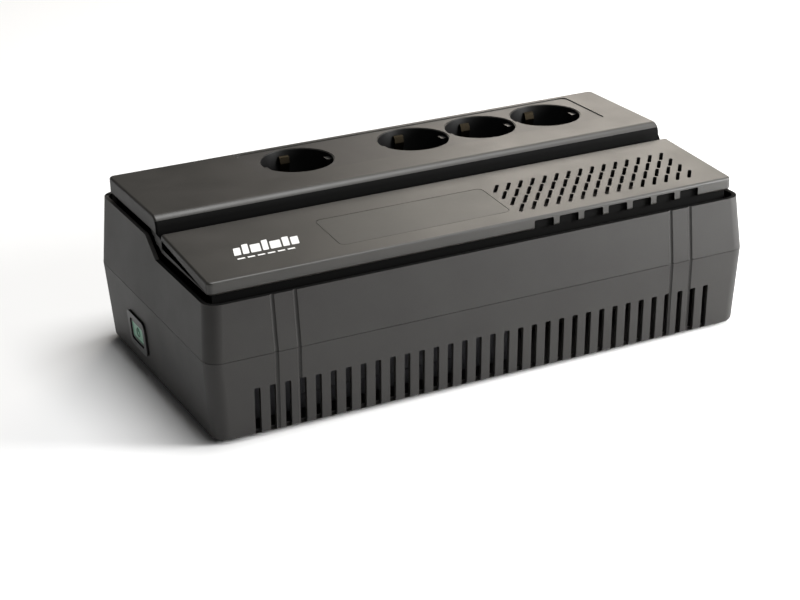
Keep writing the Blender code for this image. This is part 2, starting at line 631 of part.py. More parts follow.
bm = bmesh.new()
verts = button_box(bm, (13.0, 14.6), 26.0, 26.0)
finish("button_board", bm, BOARD)
bm = bmesh.new()
button_box(bm, (8.2, 12.7), 6.0, 6.0)
switch = finish("tact_switch", bm, CHIP)
bm = bmesh.new()
verts = add_rod(bm, (-wall_x + 8.7, BUTTON_Y, BUTTON_Z), 1.9, 5.4, "X", 16)
turn_about(bm, verts, pivot, -lower_slope, "Y")
boolean(switch, finish("cut_switch_bore", bm))
bm = bmesh.new()
verts = add_rod(bm, (-wall_x + 10.2, BUTTON_Y - 6.5, BUTTON_Z), 1.5, 5.0, "X", 16)
turn_about(bm, verts, pivot, -lower_slope, "Y")
finish("indicator_led", bm, LENS, smooth=True)
bm = bmesh.new()
for side in (-1, 1):
    y = sorted((BUTTON_Y + side * 13.3, BUTTON_Y + side * 14.8))
    add_box(bm, (-141, -134.6), y, (FLOOR_TOP - 1, 26))
boolean(lower, finish("join_board_guides", bm), "UNION")

# ---- mains inlet and breaker on the +X end ---------------------------------------------------
inlet_wall = LENGTH / 2 - LOWER_TAPER * (PARTING - INLET_Z) / (PARTING - FOOT)
end_pivot = (inlet_wall, 0, INLET_Z)


def end_box(bm, x, y, z):
    verts = add_box(bm, (inlet_wall + x[0], inlet_wall + x[1]), y, z)
    turn_about(bm, verts, end_pivot, lower_slope, "Y")
    return verts


def end_rod(bm, x, y, radius, segments=24):
    verts = add_rod(bm, (inlet_wall + sum(x) / 2, y, INLET_Z), radius, x[1] - x[0], "X", segments)
    turn_about(bm, verts, end_pivot, lower_slope, "Y")
    return verts


bm = bmesh.new()
end_box(bm, (GAP, 2.4), (INLET_Y - 16, INLET_Y + 16), (INLET_Z - 12, INLET_Z + 12))
bevel_edges(bm, lambda a, b: abs(a.x - b.x) > 1 and abs(a.y - b.y) < 1 and abs(a.z - b.z) < 1,
            2.0, 2)
inlet = finish("inlet_body", bm, SOCKET)
bm = bmesh.new()
end_box(bm, (-16, 2.0), (INLET_Y - 13.5, INLET_Y + 13.5), (INLET_Z - 9.8, INLET_Z + 9.8))
boolean(inlet, finish("join_inlet_shell", bm), "UNION")
bm = bmesh.new()
verts = end_box(bm, (-14, 8), (INLET_Y - 12.0, INLET_Y + 12.0), (INLET_Z - 8.1, INLET_Z + 8.1))
bevel_edges(bm, lambda a, b: abs(a.x - b.x) > 9 and a.z * 1 > INLET_Z and b.z > INLET_Z, 4.0, 1)
boolean(inlet, finish("cut_inlet_well", bm))
pins = (("earth", 0.0, 2.4), ("live", -7.0, -2.4), ("neutral", 7.0, -2.4))
bm = bmesh.new()
for name, dy, dz in pins:
    y = INLET_Y + dy
    z = INLET_Z + dz
    end_box(bm, (-20, -10), (y - 1.3, y + 1.3), (z - 2.3, z + 2.3))
boolean(inlet, finish("cut_inlet_pin_slots", bm))
for name, dy, dz in pins:
    bm = bmesh.new()
    y = INLET_Y + dy
    z = INLET_Z + dz
    end_box(bm, (-22, -1.5), (y - 1.0, y + 1.0), (z - 2.0, z + 2.0))
    finish("inlet_pin_" + name, bm, BRASS)

bm = bmesh.new()
end_box(bm, (-30, -WALL - 0.6), (BREAKER_Y - 7.5, BREAKER_Y + 7.5), (INLET_Z - 11, INLET_Z + 11))
breaker = finish("breaker_body", bm, CHIP)
bm = bmesh.new()
end_rod(bm, (-6, 2.9), BREAKER_Y, 5.7)
boolean(breaker, finish("join_breaker_neck", bm), "UNION")
bm = bmesh.new()
end_rod(bm, (-9, 8.0), BREAKER_Y, 4.0)
boolean(breaker, finish("cut_breaker_bore", bm))
bm = bmesh.new()
end_rod(bm, (GAP, 2.4), BREAKER_Y, 8.6, 6)
nut = finish("breaker_nut", bm, SOCKET)
bm = bmesh.new()
end_rod(bm, (-3, 8.0), BREAKER_Y, 6.0)
boolean(nut, finish("cut_breaker_nut", bm))
bm = bmesh.new()
end_rod(bm, (-8.0, 3.6), BREAKER_Y, 3.6)
finish("breaker_button", bm, SOCKET, (inlet_wall, BREAKER_Y, INLET_Z), smooth=True)

# ---- battery ---------------------------------------------------------------------------------
box_part("battery", BATTERY_X, BATTERY_Y, BATTERY_Z, BATTERY, 1.2)
face = BATTERY_Y[1]
TAB_Z = 38.0
for name, x, mat in (("battery_tab_positive", -118.0, RED_TAB), ("battery_tab_negative", 5.0, STEEL)):
    box_part(name, (x - 0.4, x + 0.4), (face + GAP, face + 6.2), (TAB_Z - 3.2, TAB_Z + 3.2), mat)
tube("battery_lead_red", [(-118, 34.6, 38), (-118, 40, 38.5), (-110, 48, 34), (-96, 52, 24),
                          (-92, 52, 16), (-92, 52, 12.1)], 1.5, RED_WIRE)
tube("battery_lead_black", [(5, 34.6, 38), (5, 40, 38.5), (-2, 48, 34), (-12, 52, 24),
                            (-15, 52, 16), (-15, 52, 12.1)], 1.5, BLACK_WIRE)

# ---- transformer -------------------------------------------------------------------------------
cx, cy, cz = CORE_CENTRE
sx, sy, sz = (v / 2 for v in CORE_SIZE)
leg, yoke = 13.0, 13.0
core = box_part("transformer_core", (cx - sx, cx + sx), (cy - sy, cy + sy), (cz - sz, cz + sz),
                LAMINATION)
bm = bmesh.new()
for side in (-1, 1):
    add_box(bm, sorted((cx + side * leg, cx + side * (sx - leg))), (cy - sy - 5, cy + sy + 5),
            (cz - sz + yoke, cz + sz - yoke))
boolean(core, finish("cut_core_windows", bm))
half = sz - yoke - GAP
coil = box_part("transformer_coil", (cx - sx + leg + GAP, cx + sx - leg - GAP),
                (cy - sy - 12.5, cy + sy + 12.5), (cz - half, cz + half), WINDING, 1.0)
bm = bmesh.new()
add_box(bm, (cx - leg - GAP, cx + leg + GAP), (cy - sy - GAP, cy + sy + GAP), (0, 90))
boolean(coil, finish("cut_coil", bm))
bracket = box_part("transformer_bracket", (cx - sx - 1.6, cx + sx + 1.6), (cy - 9, cy + 9),
                   (cz + sz + GAP, cz + sz + 1.6), STEEL)
bm = bmesh.new()
for side in (-1, 1):
    add_box(bm, sorted((cx + side * (sx + GAP), cx + side * (sx + 1.6))), (cy - 9, cy + 9),
            (FLOOR_TOP + GAP, cz + sz + 1.0))
boolean(bracket, finish("join_bracket_legs", bm), "UNION")
bm = bmesh.new()
for side in (-1, 1):
    add_box(bm, sorted((cx + side * (sx + 0.8), cx + side * (sx + 12.0))), (cy - 9, cy + 9),
            (FLOOR_TOP + GAP, FLOOR_TOP + 1.6))
boolean(bracket, finish("join_bracket_feet", bm), "UNION")

# ---- main board ----------------------------------------------------------------------------------
box_part("main_board", BOARD_X, BOARD_Y, BOARD_Z, BOARD)
top = BOARD_Z[1] + GAP
heat = box_part("heat_sink", (-66, -6), (62.0, 64.5), (top, 44), ALUMINIUM)
bm = bmesh.new()
for i in range(7):
    x = -64.5 + i * 9.5
    add_box(bm, (x, x + 1.6), (64.0, 71.0), (top, 44))
boolean(heat, finish("join_fins", bm), "UNION")
for i in range(4):
    x = -58.0 + i * 15.0
    box_part("transistor_%d" % (i + 1), (x - 5, x + 5), (57.0, 61.7), (top, top + 16), CHIP)
for i in range(3):
    x = 24.0 + i * 23.0
    box_part("relay_%d" % (i + 1), (x - 9.5, x + 9.5), (38.0, 53.5), (top, top + 15), RELAY, 0.6)
rod_part("capacitor_1", (-80.0, 44.0, top + 14), 8.0, 28.0, SLEEVE)
rod_part("capacitor_2", (99.0, 60.0, top + 14), 8.0, 28.0, SLEEVE)
rod_part("alarm_sounder", (60.0, 64.0, top + 4.5), 6.0, 9.0, CHIP)
box_part("control_chip", (-50, -32), (40.0, 48.0), (top, top + 3), CHIP)

# ---- feet and housing screws -----------------------------------------------------------------------
for i, (x, y) in enumerate(((-124, -60), (124, -60), (-124, 60), (124, 60)), 1):
    rod_part("foot_%d" % i, (x, y, (FOOT - GAP) / 2), 7.0, FOOT - GAP, RUBBER)
for i, (x, y) in enumerate(POSTS, 1):
    screw = rod_part("housing_screw_%d" % i, (x, y, 14.0), 3.0, 3.0, STEEL, segments=16)
    bm = bmesh.new()
    add_rod(bm, (x, y, 36.0), 1.4, 43.0, segments=12)
    boolean(screw, finish("join_screw_%d" % i, bm), "UNION")
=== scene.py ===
# %% [markdown]
# # An uninterruptible power supply, from its moulded case to its screws
# The real object is a low charcoal case about as long as a keyboard is wide.  A battery and a
# transformer sit in it, and four round mains sockets open in its lid.  This lesson starts from
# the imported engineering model, which fixes every size and every moving body, and gives 46 parts
# a finely modelled piece of their own.  All lengths below are in millimetres and
# are multiplied by MM when they go into Blender.

# %% Load the engineering model
import math

import bmesh
import bpy
from mathutils import Euler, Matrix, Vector


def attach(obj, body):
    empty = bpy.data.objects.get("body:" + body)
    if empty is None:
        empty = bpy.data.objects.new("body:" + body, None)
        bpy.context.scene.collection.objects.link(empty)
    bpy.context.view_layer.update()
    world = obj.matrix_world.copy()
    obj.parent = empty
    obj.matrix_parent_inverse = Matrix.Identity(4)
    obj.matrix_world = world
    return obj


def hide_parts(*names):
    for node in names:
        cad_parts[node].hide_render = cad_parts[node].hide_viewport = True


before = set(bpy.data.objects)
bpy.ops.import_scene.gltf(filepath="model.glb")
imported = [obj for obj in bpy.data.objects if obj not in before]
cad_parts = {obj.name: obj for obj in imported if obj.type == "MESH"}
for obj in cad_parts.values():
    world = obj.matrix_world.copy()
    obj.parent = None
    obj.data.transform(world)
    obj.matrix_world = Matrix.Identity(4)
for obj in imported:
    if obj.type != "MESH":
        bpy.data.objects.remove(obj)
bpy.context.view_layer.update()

MM = 0.001

# %% [markdown]
# ## The camera
# The object is seen from its front left corner and from a little above.  A long lens from about
# a metre away keeps the long edges almost parallel, as in a catalogue.  The camera's place and
# its three angles are set directly, because a constraint that tracks a target could not give
# the slight lean of the horizon.

# %% Camera
CAMERA_AT, LENS_LENGTH, SENSOR_WIDTH = Vector((-429.1, -868.8, 423.3)), 87.79, 36.0
AZIMUTH, ELEVATION, LEAN = (math.radians(a) for a in (-25.58, 22.74, -1.76))

backwards = Vector((math.sin(AZIMUTH) * math.cos(ELEVATION),
                    -math.cos(AZIMUTH) * math.cos(ELEVATION), math.sin(ELEVATION)))
aim = (-backwards).to_track_quat("-Z", "Y") @ Euler((0, 0, LEAN)).to_quaternion()
camera = bpy.data.objects.new("camera", bpy.data.cameras.new("camera"))
bpy.context.scene.collection.objects.link(camera)
camera.data.lens, camera.data.sensor_width = LENS_LENGTH, SENSOR_WIDTH
camera.location = CAMERA_AT * MM
camera.rotation_mode = "QUATERNION"
camera.rotation_quaternion = aim
bpy.context.scene.camera = camera
bpy.context.scene.view_settings.view_transform = "Standard"
print("camera looks along", [round(v, 3) for v in -backwards])

# %% [markdown]
# ## Studio light
# Dark plastic shows its shape by what it mirrors.  A soft box behind and to the right lies near
# the mirror direction of the lid, so the lid grows paler towards its right end.  A large box high
# on the right whitens the floor, and the floor bounces light up into both faces, as a sheet of
# white card does; the short left end sees no lamp, only that floor.  A wide box in front lifts
# the long face evenly, and a small one close to its right end gives it its gradient.

# %% Lights and floor
WORLD_LIGHT = 0.05
SOFT_BOXES = {
    # name: place, target, width and height (mm), watts, colour
    "rear_right_box": ((1150, 1500, 900), (60, 0, 90), (700, 500), 8.5, "#fff6ea"),
    "top_box": ((520, -100, 2200), (0, 0, 0), (1500, 1500), 58.0, "#ffffff"),
    "front_box": ((300, -1500, 900), (60, 0, 40), (900, 700), 2.5, "#ffffff"),
    "right_end_box": ((650, -450, 260), (100, 0, 40), (300, 300), 12.5, "#ffffff"),
}


def linear(hex_colour):
    """An sRGB hex colour as the linear red, green, blue and alpha that Blender works in."""
    channels = [int(hex_colour[i:i + 2], 16) / 255 for i in (1, 3, 5)]
    return (*[c / 12.92 if c <= 0.04045 else ((c + 0.055) / 1.055) ** 2.4 for c in channels], 1.0)


world = bpy.data.worlds.new("studio")
bpy.context.scene.world = world
world.use_nodes = True
world.node_tree.nodes["Background"].inputs["Color"].default_value = linear("#fbfbfa")
world.node_tree.nodes["Background"].inputs["Strength"].default_value = WORLD_LIGHT
for name, (place, target, size, watts, colour) in SOFT_BOXES.items():
    lamp = bpy.data.objects.new(name, bpy.data.lights.new(name, "AREA"))
    bpy.context.scene.collection.objects.link(lamp)
    lamp.data.shape, lamp.data.energy = "RECTANGLE", watts
    lamp.data.color = linear(colour)[:3]
    lamp.data.size, lamp.data.size_y = (s * MM for s in size)
    lamp.location = Vector(place) * MM
    lamp.rotation_mode = "QUATERNION"
    lamp.rotation_quaternion = (Vector(target) - Vector(place)).to_track_quat("-Z", "Y")
print("soft boxes", len(SOFT_BOXES))

# %% [markdown]
# ## One function for every material
# A finish is a small tree of nodes.  The first function below adds one node of any kind with its
# settings, fills its inputs with values or links, and returns it; the others use it.  Patterns
# read Object coordinates, which are metres here, so a noise that should have a grain of g
# millimetres gets the scale 1000 / g.

# %% Node helpers
def add(material, kind, settings=None, inputs=None):
    """Adds a node; inputs maps a socket's name or number to a value or to another node's output."""
    tree = material.node_tree
    made = tree.nodes.new(kind)
    for key, value in (settings or {}).items():
        setattr(made, key, value)
    for key, value in (inputs or {}).items():
        if isinstance(value, bpy.types.NodeSocket):
            tree.links.new(value, made.inputs[key])
        else:
            made.inputs[key].default_value = value
    return made


def new_material(name, **shader_values):
    """A material with a principled shader whose constants are set on the shader itself."""
    material = bpy.data.materials.new(name)
    material.use_nodes = True
    shader = material.node_tree.nodes["Principled BSDF"]
    for socket, value in shader_values.items():
        shader.inputs[socket.replace("_", " ")].default_value = value
    return material, shader


def feed(material, shader, socket, output):
    """Links an output to one socket of the shader."""
    material.node_tree.links.new(output, shader.inputs[socket])


def two_tones(material, shader, share, dark, pale, socket="Base Color"):
    """Mixes two colours, share of the second with the rest of the first, into a colour socket."""
    tone = add(material, "ShaderNodeMix", {"data_type": "RGBA"},
               {0: share, 6: linear(dark), 7: linear(pale)})
    feed(material, shader, socket, tone.outputs[2])


def relief(material, shader, output, height):
    """Raises the surface by so many millimetres where the output is 1."""
    bump = add(material, "ShaderNodeBump", inputs={"Height": output, "Distance": height * MM})
    feed(material, shader, "Normal", bump.outputs["Normal"])


def scale_of(grain):
    """Noise scale for a grain of so many millimetres."""
    return 1.0 / (grain * MM)


# %% [markdown]
# ## Floor
# A matt white sheet, bright enough to run out to white and to keep only the soft shadow where
# the case nearly touches it.

# %% Floor
FLOOR_SIZE = 12000

bpy.ops.object.select_all(action="DESELECT")
bpy.ops.mesh.primitive_plane_add(size=FLOOR_SIZE * MM, location=(0, 0, 0))
floor = bpy.context.object
floor.name = "floor"
paper, shader = new_material("matt_white_paper", Roughness=0.9)
grain = add(paper, "ShaderNodeTexNoise", inputs={"Scale": scale_of(40), "Detail": 3.0})
two_tones(paper, shader, grain.outputs["Fac"], "#f2f2f2", "#f7f7f6")
shader.inputs["Specular IOR Level"].default_value = 0.2
floor.data.materials.append(paper)
print("floor", floor.dimensions.x, "m")

# %% [markdown]
# ## Moulded plastics
# The case is injection-moulded ABS.  Its steel mould was spark eroded, which prints a fine
# pebbled grain on the part and turns gloss into a soft sheen.  A real grain is about 0.1 mm
# across, too fine for this picture, so it is drawn 0.7 mm wide and a few hundredths high.  The
# colour drifts a little over tens of millimetres, and the roughness with it, as flow and
# handling leave it.  The same recipe with other numbers gives the satin lid, the black
# polycarbonate sockets and the rubber feet.

# %% Plastic recipe
def plastic(name, dark, pale, roughness, grain, height, **shader_values):
    """Moulded plastic: two close tones, a roughness range, a grain of given width and height."""
    material, shader = new_material(name, **shader_values)
    place = add(material, "ShaderNodeTexCoord").outputs["Object"]
    drift = add(material, "ShaderNodeTexNoise", inputs={"Vector": place, "Scale": scale_of(28),
                                                        "Detail": 4.0, "Roughness": 0.6})
    speck = add(material, "ShaderNodeTexNoise", inputs={"Vector": place, "Scale": scale_of(grain),
                                                        "Detail": 2.0, "Roughness": 0.55})
    both = add(material, "ShaderNodeMath", {"operation": "MULTIPLY_ADD"},
               {0: speck.outputs["Fac"], 1: 0.35, 2: drift.outputs["Fac"]})
    share = add(material, "ShaderNodeMapRange", inputs={"Value": both.outputs[0],
                                                        "From Min": 0.35, "From Max": 0.95})
    two_tones(material, shader, share.outputs[0], dark, pale)
    rough = add(material, "ShaderNodeMapRange",
                inputs={"Value": both.outputs[0], "From Min": 0.35, "From Max": 0.95,
                        "To Min": roughness - 0.05, "To Max": roughness + 0.05})
    feed(material, shader, "Roughness", rough.outputs[0])
    relief(material, shader, speck.outputs["Fac"], height)
    return material


# charcoal ABS off a spark-eroded mould: a pebbled, even sheen
CASE = plastic("spark_eroded_charcoal_abs", "#211f1e", "#292826", 0.52, 0.7, 0.03,
               Specular_IOR_Level=0.31)
# the same ABS with a finer texture: the lid mirrors light more tightly than the case, and its tone
# is a little paler and warmer, painted light of the top
LID = plastic("satin_charcoal_abs", "#262522", "#2e2c29", 0.42, 0.55, 0.02)
# the insert's face: the lid's texture in a slightly darker polycarbonate
INSERT = plastic("textured_charcoal_polycarbonate", "#252422", "#2d2b29", 0.44, 0.55, 0.02)
# painted shade: the depths of the channel and of the gap round the lid get the same ABS made
# near-black and matt, standing for the shadow in them
PAINTED_SHADE = plastic("painted_shade_black_abs", "#050505", "#090908", 0.80, 0.7, 0.03,
               Specular_IOR_Level=0.08)
# black polycarbonate: deep and slightly glossy, as sockets are for cleaning
BLACK_PC = plastic("black_polycarbonate", "#070707", "#0d0d0d", 0.40, 0.5, 0.012)
# vulcanised rubber: dull, with a coarse dusting
RUBBER = plastic("black_rubber", "#101010", "#1c1c1b", 0.85, 0.9, 0.05)
# battery box: coarser, greyer ABS
BATTERY_ABS = plastic("grey_battery_abs", "#2f3033", "#3b3c40", 0.60, 1.2, 0.05)
# potted and moulded epoxy of switches, chips and transistors
EPOXY = plastic("black_moulded_epoxy", "#0d0d0e", "#161617", 0.50, 0.6, 0.02)
# relay cover: thin blue polyester
RELAY = plastic("blue_relay_polyester", "#123a63", "#19497a", 0.35, 0.6, 0.01)
# heat-shrunk sleeve of an electrolytic capacitor
SLEEVE = plastic("blue_shrunk_sleeve", "#101c4a", "#182866", 0.30, 0.8, 0.01)
# wire insulation
RED_PVC = plastic("red_pvc_insulation", "#9c1410", "#b21c16", 0.42, 0.8, 0.01)
BLACK_PVC = plastic("black_pvc_insulation", "#0c0c0c", "#151515", 0.42, 0.8, 0.01)
# label: a hard-coated film, flatter than the lid round it
FILM = plastic("matt_label_film", "#2b2a27", "#31302d", 0.45, 2.5, 0.004)
print("plastics", len([m for m in bpy.data.materials if m.use_nodes]))

# %% [markdown]
# ## Print, light and metals
# The white mark is pad-printed ink, a film a few hundredths of a millimetre thick with a
# slightly uneven edge of tone.  The button is a clear green lens lit from behind, so it glows
# most where the lamp sits.  Metals have no diffuse colour: their tone is their reflection, and
# zinc, nickel and drawn aluminium differ by how their surface was made.

# %% Ink, lens and metals
INK = plastic("pad_printed_white_ink", "#d9d9d6", "#f1f1ee", 0.55, 0.8, 0.01)

LENS, shader = new_material("green_lit_polycarbonate", Roughness=0.28,
                            Emission_Strength=0.14)
place = add(LENS, "ShaderNodeTexCoord").outputs["Object"]
clouds = add(LENS, "ShaderNodeTexNoise", inputs={"Vector": place, "Scale": scale_of(9),
                                                 "Detail": 3.0})
two_tones(LENS, shader, clouds.outputs["Fac"], "#3c6b55", "#5b8a74")
two_tones(LENS, shader, clouds.outputs["Fac"], "#4f8a6c", "#86b89d", "Emission Color")


def metal(name, dark, pale, roughness, stretch, grain):
    """Metal: tone and roughness vary along drawn or rolled lines; stretch is given in X, Y, Z."""
    material, shader = new_material(name, Metallic=1.0)
    place = add(material, "ShaderNodeTexCoord").outputs["Object"]
    lines = add(material, "ShaderNodeMapping", inputs={"Vector": place, "Scale": stretch})
    noise = add(material, "ShaderNodeTexNoise", inputs={"Vector": lines.outputs[0],
                                                        "Scale": scale_of(grain), "Detail": 4.0})
    two_tones(material, shader, noise.outputs["Fac"], dark, pale)
    rough = add(material, "ShaderNodeMapRange", inputs={"Value": noise.outputs["Fac"],
                                                        "To Min": roughness - 0.1,
                                                        "To Max": roughness + 0.1})
    feed(material, shader, "Roughness", rough.outputs[0])
    relief(material, shader, noise.outputs["Fac"], 0.01)
    return material


# bright zinc on steel: bluish, with small crystals
ZINC = metal("bright_zinc_plated_steel", "#9a9c9c", "#c4c6c4", 0.35, (1, 1, 1), 1.5)
# nickel over brass, rolled strip: fine lines along its length
NICKEL = metal("nickel_plated_brass_strip", "#8d8675", "#b3ab97", 0.36, (1, 1, 6), 0.8)
# the earth springs are spring bronze, made near-black and dull as painted shade of the deep wells
SPRING_PAINTED_SHADE = metal("spring_bronze_painted_shade", "#18150f", "#27221a", 0.50, (1, 1, 6), 0.8)
# extruded aluminium: die lines run along the fins
ALUMINIUM = metal("extruded_aluminium", "#8f9193", "#b9bbbd", 0.38, (8, 8, 0.3), 1.0)
# red-lacquered terminal: metal under a thin red coat
RED_TAB = metal("red_marked_terminal", "#a8342a", "#c24a3c", 0.38, (1, 1, 1), 1.0)
print("metals made")

# %% [markdown]
# ## Wound and layered things
# A transformer core is a stack of 0.5 mm steel sheets and its coil is close-wound wire, so both
# show as lines.  A wave texture gives those lines: straight bands, one period for each sheet or
# each turn, drawn 1 mm apart because finer ones would not show.  The circuit board is glass
# cloth in green lacquer, with copper tracks as raised veins below it.

# %% Core, coil and board
WAVE_PERIOD = math.pi / 10  # length of one band of a wave texture at scale 1


def banded(name, dark, pale, roughness, metallic, direction, period, height):
    """Straight bands, one period apart in millimetres, across a direction."""
    material, shader = new_material(name, Roughness=roughness, Metallic=metallic)
    place = add(material, "ShaderNodeTexCoord").outputs["Object"]
    wave = add(material, "ShaderNodeTexWave",
               {"wave_type": "BANDS", "bands_direction": direction, "wave_profile": "SIN"},
               {"Vector": place, "Scale": WAVE_PERIOD / (period * MM), "Distortion": 0.4,
                "Detail": 1.0, "Detail Scale": 0.4})
    two_tones(material, shader, wave.outputs["Fac"], dark, pale)
    relief(material, shader, wave.outputs["Fac"], height)
    return material


LAMINATION = banded("varnished_silicon_steel_sheets", "#26231f", "#57534c", 0.45, 0.7, "Y", 1.0,
                    0.15)
WINDING = banded("enamelled_copper_wire", "#5a2c12", "#b5672f", 0.35, 0.3, "Z", 1.0, 0.25)

BOARD, shader = new_material("green_lacquered_glass_board", Roughness=0.40)
place = add(BOARD, "ShaderNodeTexCoord").outputs["Object"]
tracks = add(BOARD, "ShaderNodeTexVoronoi",
             {"feature": "DISTANCE_TO_EDGE", "distance": "EUCLIDEAN"},
             {"Vector": place, "Scale": scale_of(7)})
vein = add(BOARD, "ShaderNodeMapRange", inputs={"Value": tracks.outputs["Distance"],
                                                "From Min": 0.08, "From Max": 0.12})
two_tones(BOARD, shader, vein.outputs[0], "#2f7a45", "#124a26")
relief(BOARD, shader, vein.outputs[0], -0.035)
print("materials", len(bpy.data.materials))

# %% [markdown]
# ## Modelling by hand, from a script
# Each piece starts as a primitive at its size and place.  Then faces or edges are picked by
# where they are, and an edit-mode operator works on them, as a person would do with the mouse.
# The helpers below add a box or a rod, pick elements and round edges; cut one shape with another;
# and complete a piece.

# %% Adding and picking helpers
def alone(obj):
    """Leaves edit mode and makes obj the only selected object."""
    if bpy.context.object is not None and bpy.context.object.mode != "OBJECT":
        bpy.ops.object.mode_set(mode="OBJECT")
    bpy.ops.object.select_all(action="DESELECT")
    if obj is not None:
        obj.select_set(True)
        bpy.context.view_layer.objects.active = obj


def box_at(name, x, y, z):
    """A box between low and high values, with its place in its mesh."""
    alone(None)
    middle = Vector([(a + b) / 2 * MM for a, b in (x, y, z)])
    bpy.ops.mesh.primitive_cube_add(size=1, location=middle,
                                    scale=[(b - a) * MM for a, b in (x, y, z)])
    bpy.ops.object.transform_apply(location=True, rotation=True, scale=True)
    bpy.context.object.name = name
    return bpy.context.object


# turns that lay a rod, which stands along Z, along another axis
ALONG_X, ALONG_Y = (0, math.pi / 2, 0), (math.pi / 2, 0, 0)


def rod_at(name, middle, radius, length, turn=(0, 0, 0), sides=48):
    """A rod with its middle at a place."""
    alone(None)
    bpy.ops.mesh.primitive_cylinder_add(vertices=sides, radius=radius * MM, depth=length * MM,
                                        location=Vector(middle) * MM, rotation=turn)
    bpy.ops.object.transform_apply(location=True, rotation=True, scale=True)
    bpy.context.object.name = name
    return bpy.context.object


def pick(obj, kind, test):
    """Opens obj in edit mode and selects the elements that pass test(middle, span, element), with
    the middle and the size of the box round it in millimetres."""
    alone(obj)
    bpy.ops.object.mode_set(mode="EDIT")
    bpy.ops.mesh.select_mode(type=kind)
    bpy.ops.mesh.select_all(action="DESELECT")
    mesh = bmesh.from_edit_mesh(obj.data)
    found = 0
    for element in {"VERT": mesh.verts, "EDGE": mesh.edges, "FACE": mesh.faces}[kind]:
        corners = [v.co / MM for v in ([element] if kind == "VERT" else element.verts)]
        low, high = ([pick_one(c[i] for c in corners) for i in range(3)] for pick_one in (min, max))
        middle = sum(corners, Vector()) / len(corners)
        if test(middle, Vector(high) - Vector(low), element):
            element.select_set(True)
            found += 1
    mesh.select_flush_mode()
    bmesh.update_edit_mesh(obj.data)
    return found


def round_off(radius, segments):
    """Bevels the picked edges."""
    bpy.ops.mesh.bevel(offset=radius * MM, offset_type="OFFSET", segments=segments, profile=0.5,
                       affect="EDGES", clamp_overlap=True)


# %% Cutting and joining helpers
def apply_modifier(obj, kind, **settings):
    """Adds one modifier with its settings and applies it at once."""
    alone(obj)
    modifier = obj.modifiers.new(kind.lower(), kind)
    for key, value in settings.items():
        setattr(modifier, key, value)
    bpy.ops.object.modifier_apply(modifier=modifier.name)


def cut(obj, cutter, operation="DIFFERENCE"):
    """Cuts the cutter out of obj, or joins it on, and removes the cutter."""
    apply_modifier(obj, "BOOLEAN", operation=operation, solver="EXACT", object=cutter)
    bpy.data.objects.remove(cutter)


def soften(obj, width, segments=2, angle=40):
    """Rounds every edge sharper than an angle, as a mould's edges are."""
    apply_modifier(obj, "BEVEL", width=width * MM, segments=segments, limit_method="ANGLE",
                   angle_limit=math.radians(angle), use_clamp_overlap=True)


def join(name, objects):
    """Makes several objects one."""
    alone(objects[0])
    for obj in objects:
        obj.select_set(True)
    if len(objects) > 1:
        bpy.ops.object.join()
    objects[0].name = name
    return objects[0]


# %% Completing helper
def complete(obj, body, slot, material, *nodes, angle=35):
    """Shading, material and body of a finished piece, and the CAD nodes it stands for; slot is not
    used.
    """
    alone(obj)
    # bevels that met on a narrow face leave points in one place: those become one point
    bpy.ops.object.mode_set(mode="EDIT")
    bpy.ops.mesh.select_all(action="SELECT")
    bpy.ops.mesh.remove_doubles(threshold=0.002 * MM)
    bpy.ops.mesh.dissolve_degenerate(threshold=0.001 * MM)
    bpy.ops.mesh.normals_make_consistent(inside=False)
    bpy.ops.object.mode_set(mode="OBJECT")
    obj.data.materials.clear()
    obj.data.materials.append(material)
    bpy.ops.object.shade_smooth_by_angle(angle=math.radians(angle))
    # large flat faces keep their own normal, so only the rounded edges shade as rounded
    apply_modifier(obj, "WEIGHTED_NORMAL", keep_sharp=True, mode="FACE_AREA")
    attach(obj, body)
    if nodes:
        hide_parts(*nodes)
    print(obj.name, len(obj.data.polygons), "faces,",
          [round(v / MM, 1) for v in obj.dimensions], "mm")


# %% [markdown]
# ## Lower housing
# An open moulded box, a little narrower at the floor than at the parting line so that it comes
# off its mould.  A box is tapered by shrinking its bottom face, its corners are rounded, its lid
# is taken off, and Solidify gives it the 2.2 mm wall of a real moulding.  The 33 ventilation
# slots of each long side are one cutter repeated by Array and Mirror.

# %% Lower housing: the shell
HALF_X, HALF_Y, CORNER_R = 152.5, 80.5, 8.0
FLOOR_Z, SEAM_Z, RIM_Z = 1.5, 44.0, 81.3
LOW_INSET, TOP_INSET = 2.6, 2.9
WALL, SEAM = 2.2, 0.12


def tapered_box(name, low, high, side, inset):
    """A box as wide as the case, with round corners, narrower at its face below or above."""
    obj = box_at(name, (-HALF_X, HALF_X), (-HALF_Y, HALF_Y), (low, high))
    pick(obj, "FACE", lambda c, s, e: e.normal.z * side > 0.9)
    bpy.ops.transform.resize(value=((HALF_X - inset) / HALF_X, (HALF_Y - inset) / HALF_Y, 1))
    pick(obj, "EDGE", lambda c, s, e: s.z > 10)
    round_off(CORNER_R, 12)
    return obj


def to_shell(obj, is_open):
    """Takes off the faces whose upward normal passes is_open; the others get the wall."""
    pick(obj, "FACE", lambda c, s, e: is_open(e.normal.z))
    bpy.ops.mesh.delete(type="FACE")
    apply_modifier(obj, "SOLIDIFY", thickness=WALL * MM, offset=-1.0, use_even_offset=True)


lower = tapered_box("lower_case", FLOOR_Z, SEAM_Z - SEAM, -1, LOW_INSET)
pick(lower, "EDGE", lambda c, s, e: c.z < FLOOR_Z + 0.1 and s.z < 0.1)
round_off(2.6, 5)
to_shell(lower, lambda up: up > 0.9)

POSTS = ((-139.0, -67.5), (-139.0, 69.5), (139.0, -67.5), (139.0, 69.5))
posts = [rod_at("post", (x, y, 22.6), 4.2, 41.8, sides=32) for x, y in POSTS]
cut(lower, join("posts", posts), "UNION")
cut(lower, join("recesses", [rod_at("recess", (x, y, 8.0), 3.4, 16.0, sides=32) for x, y in POSTS]))
print("lower shell", len(lower.data.polygons), "faces")

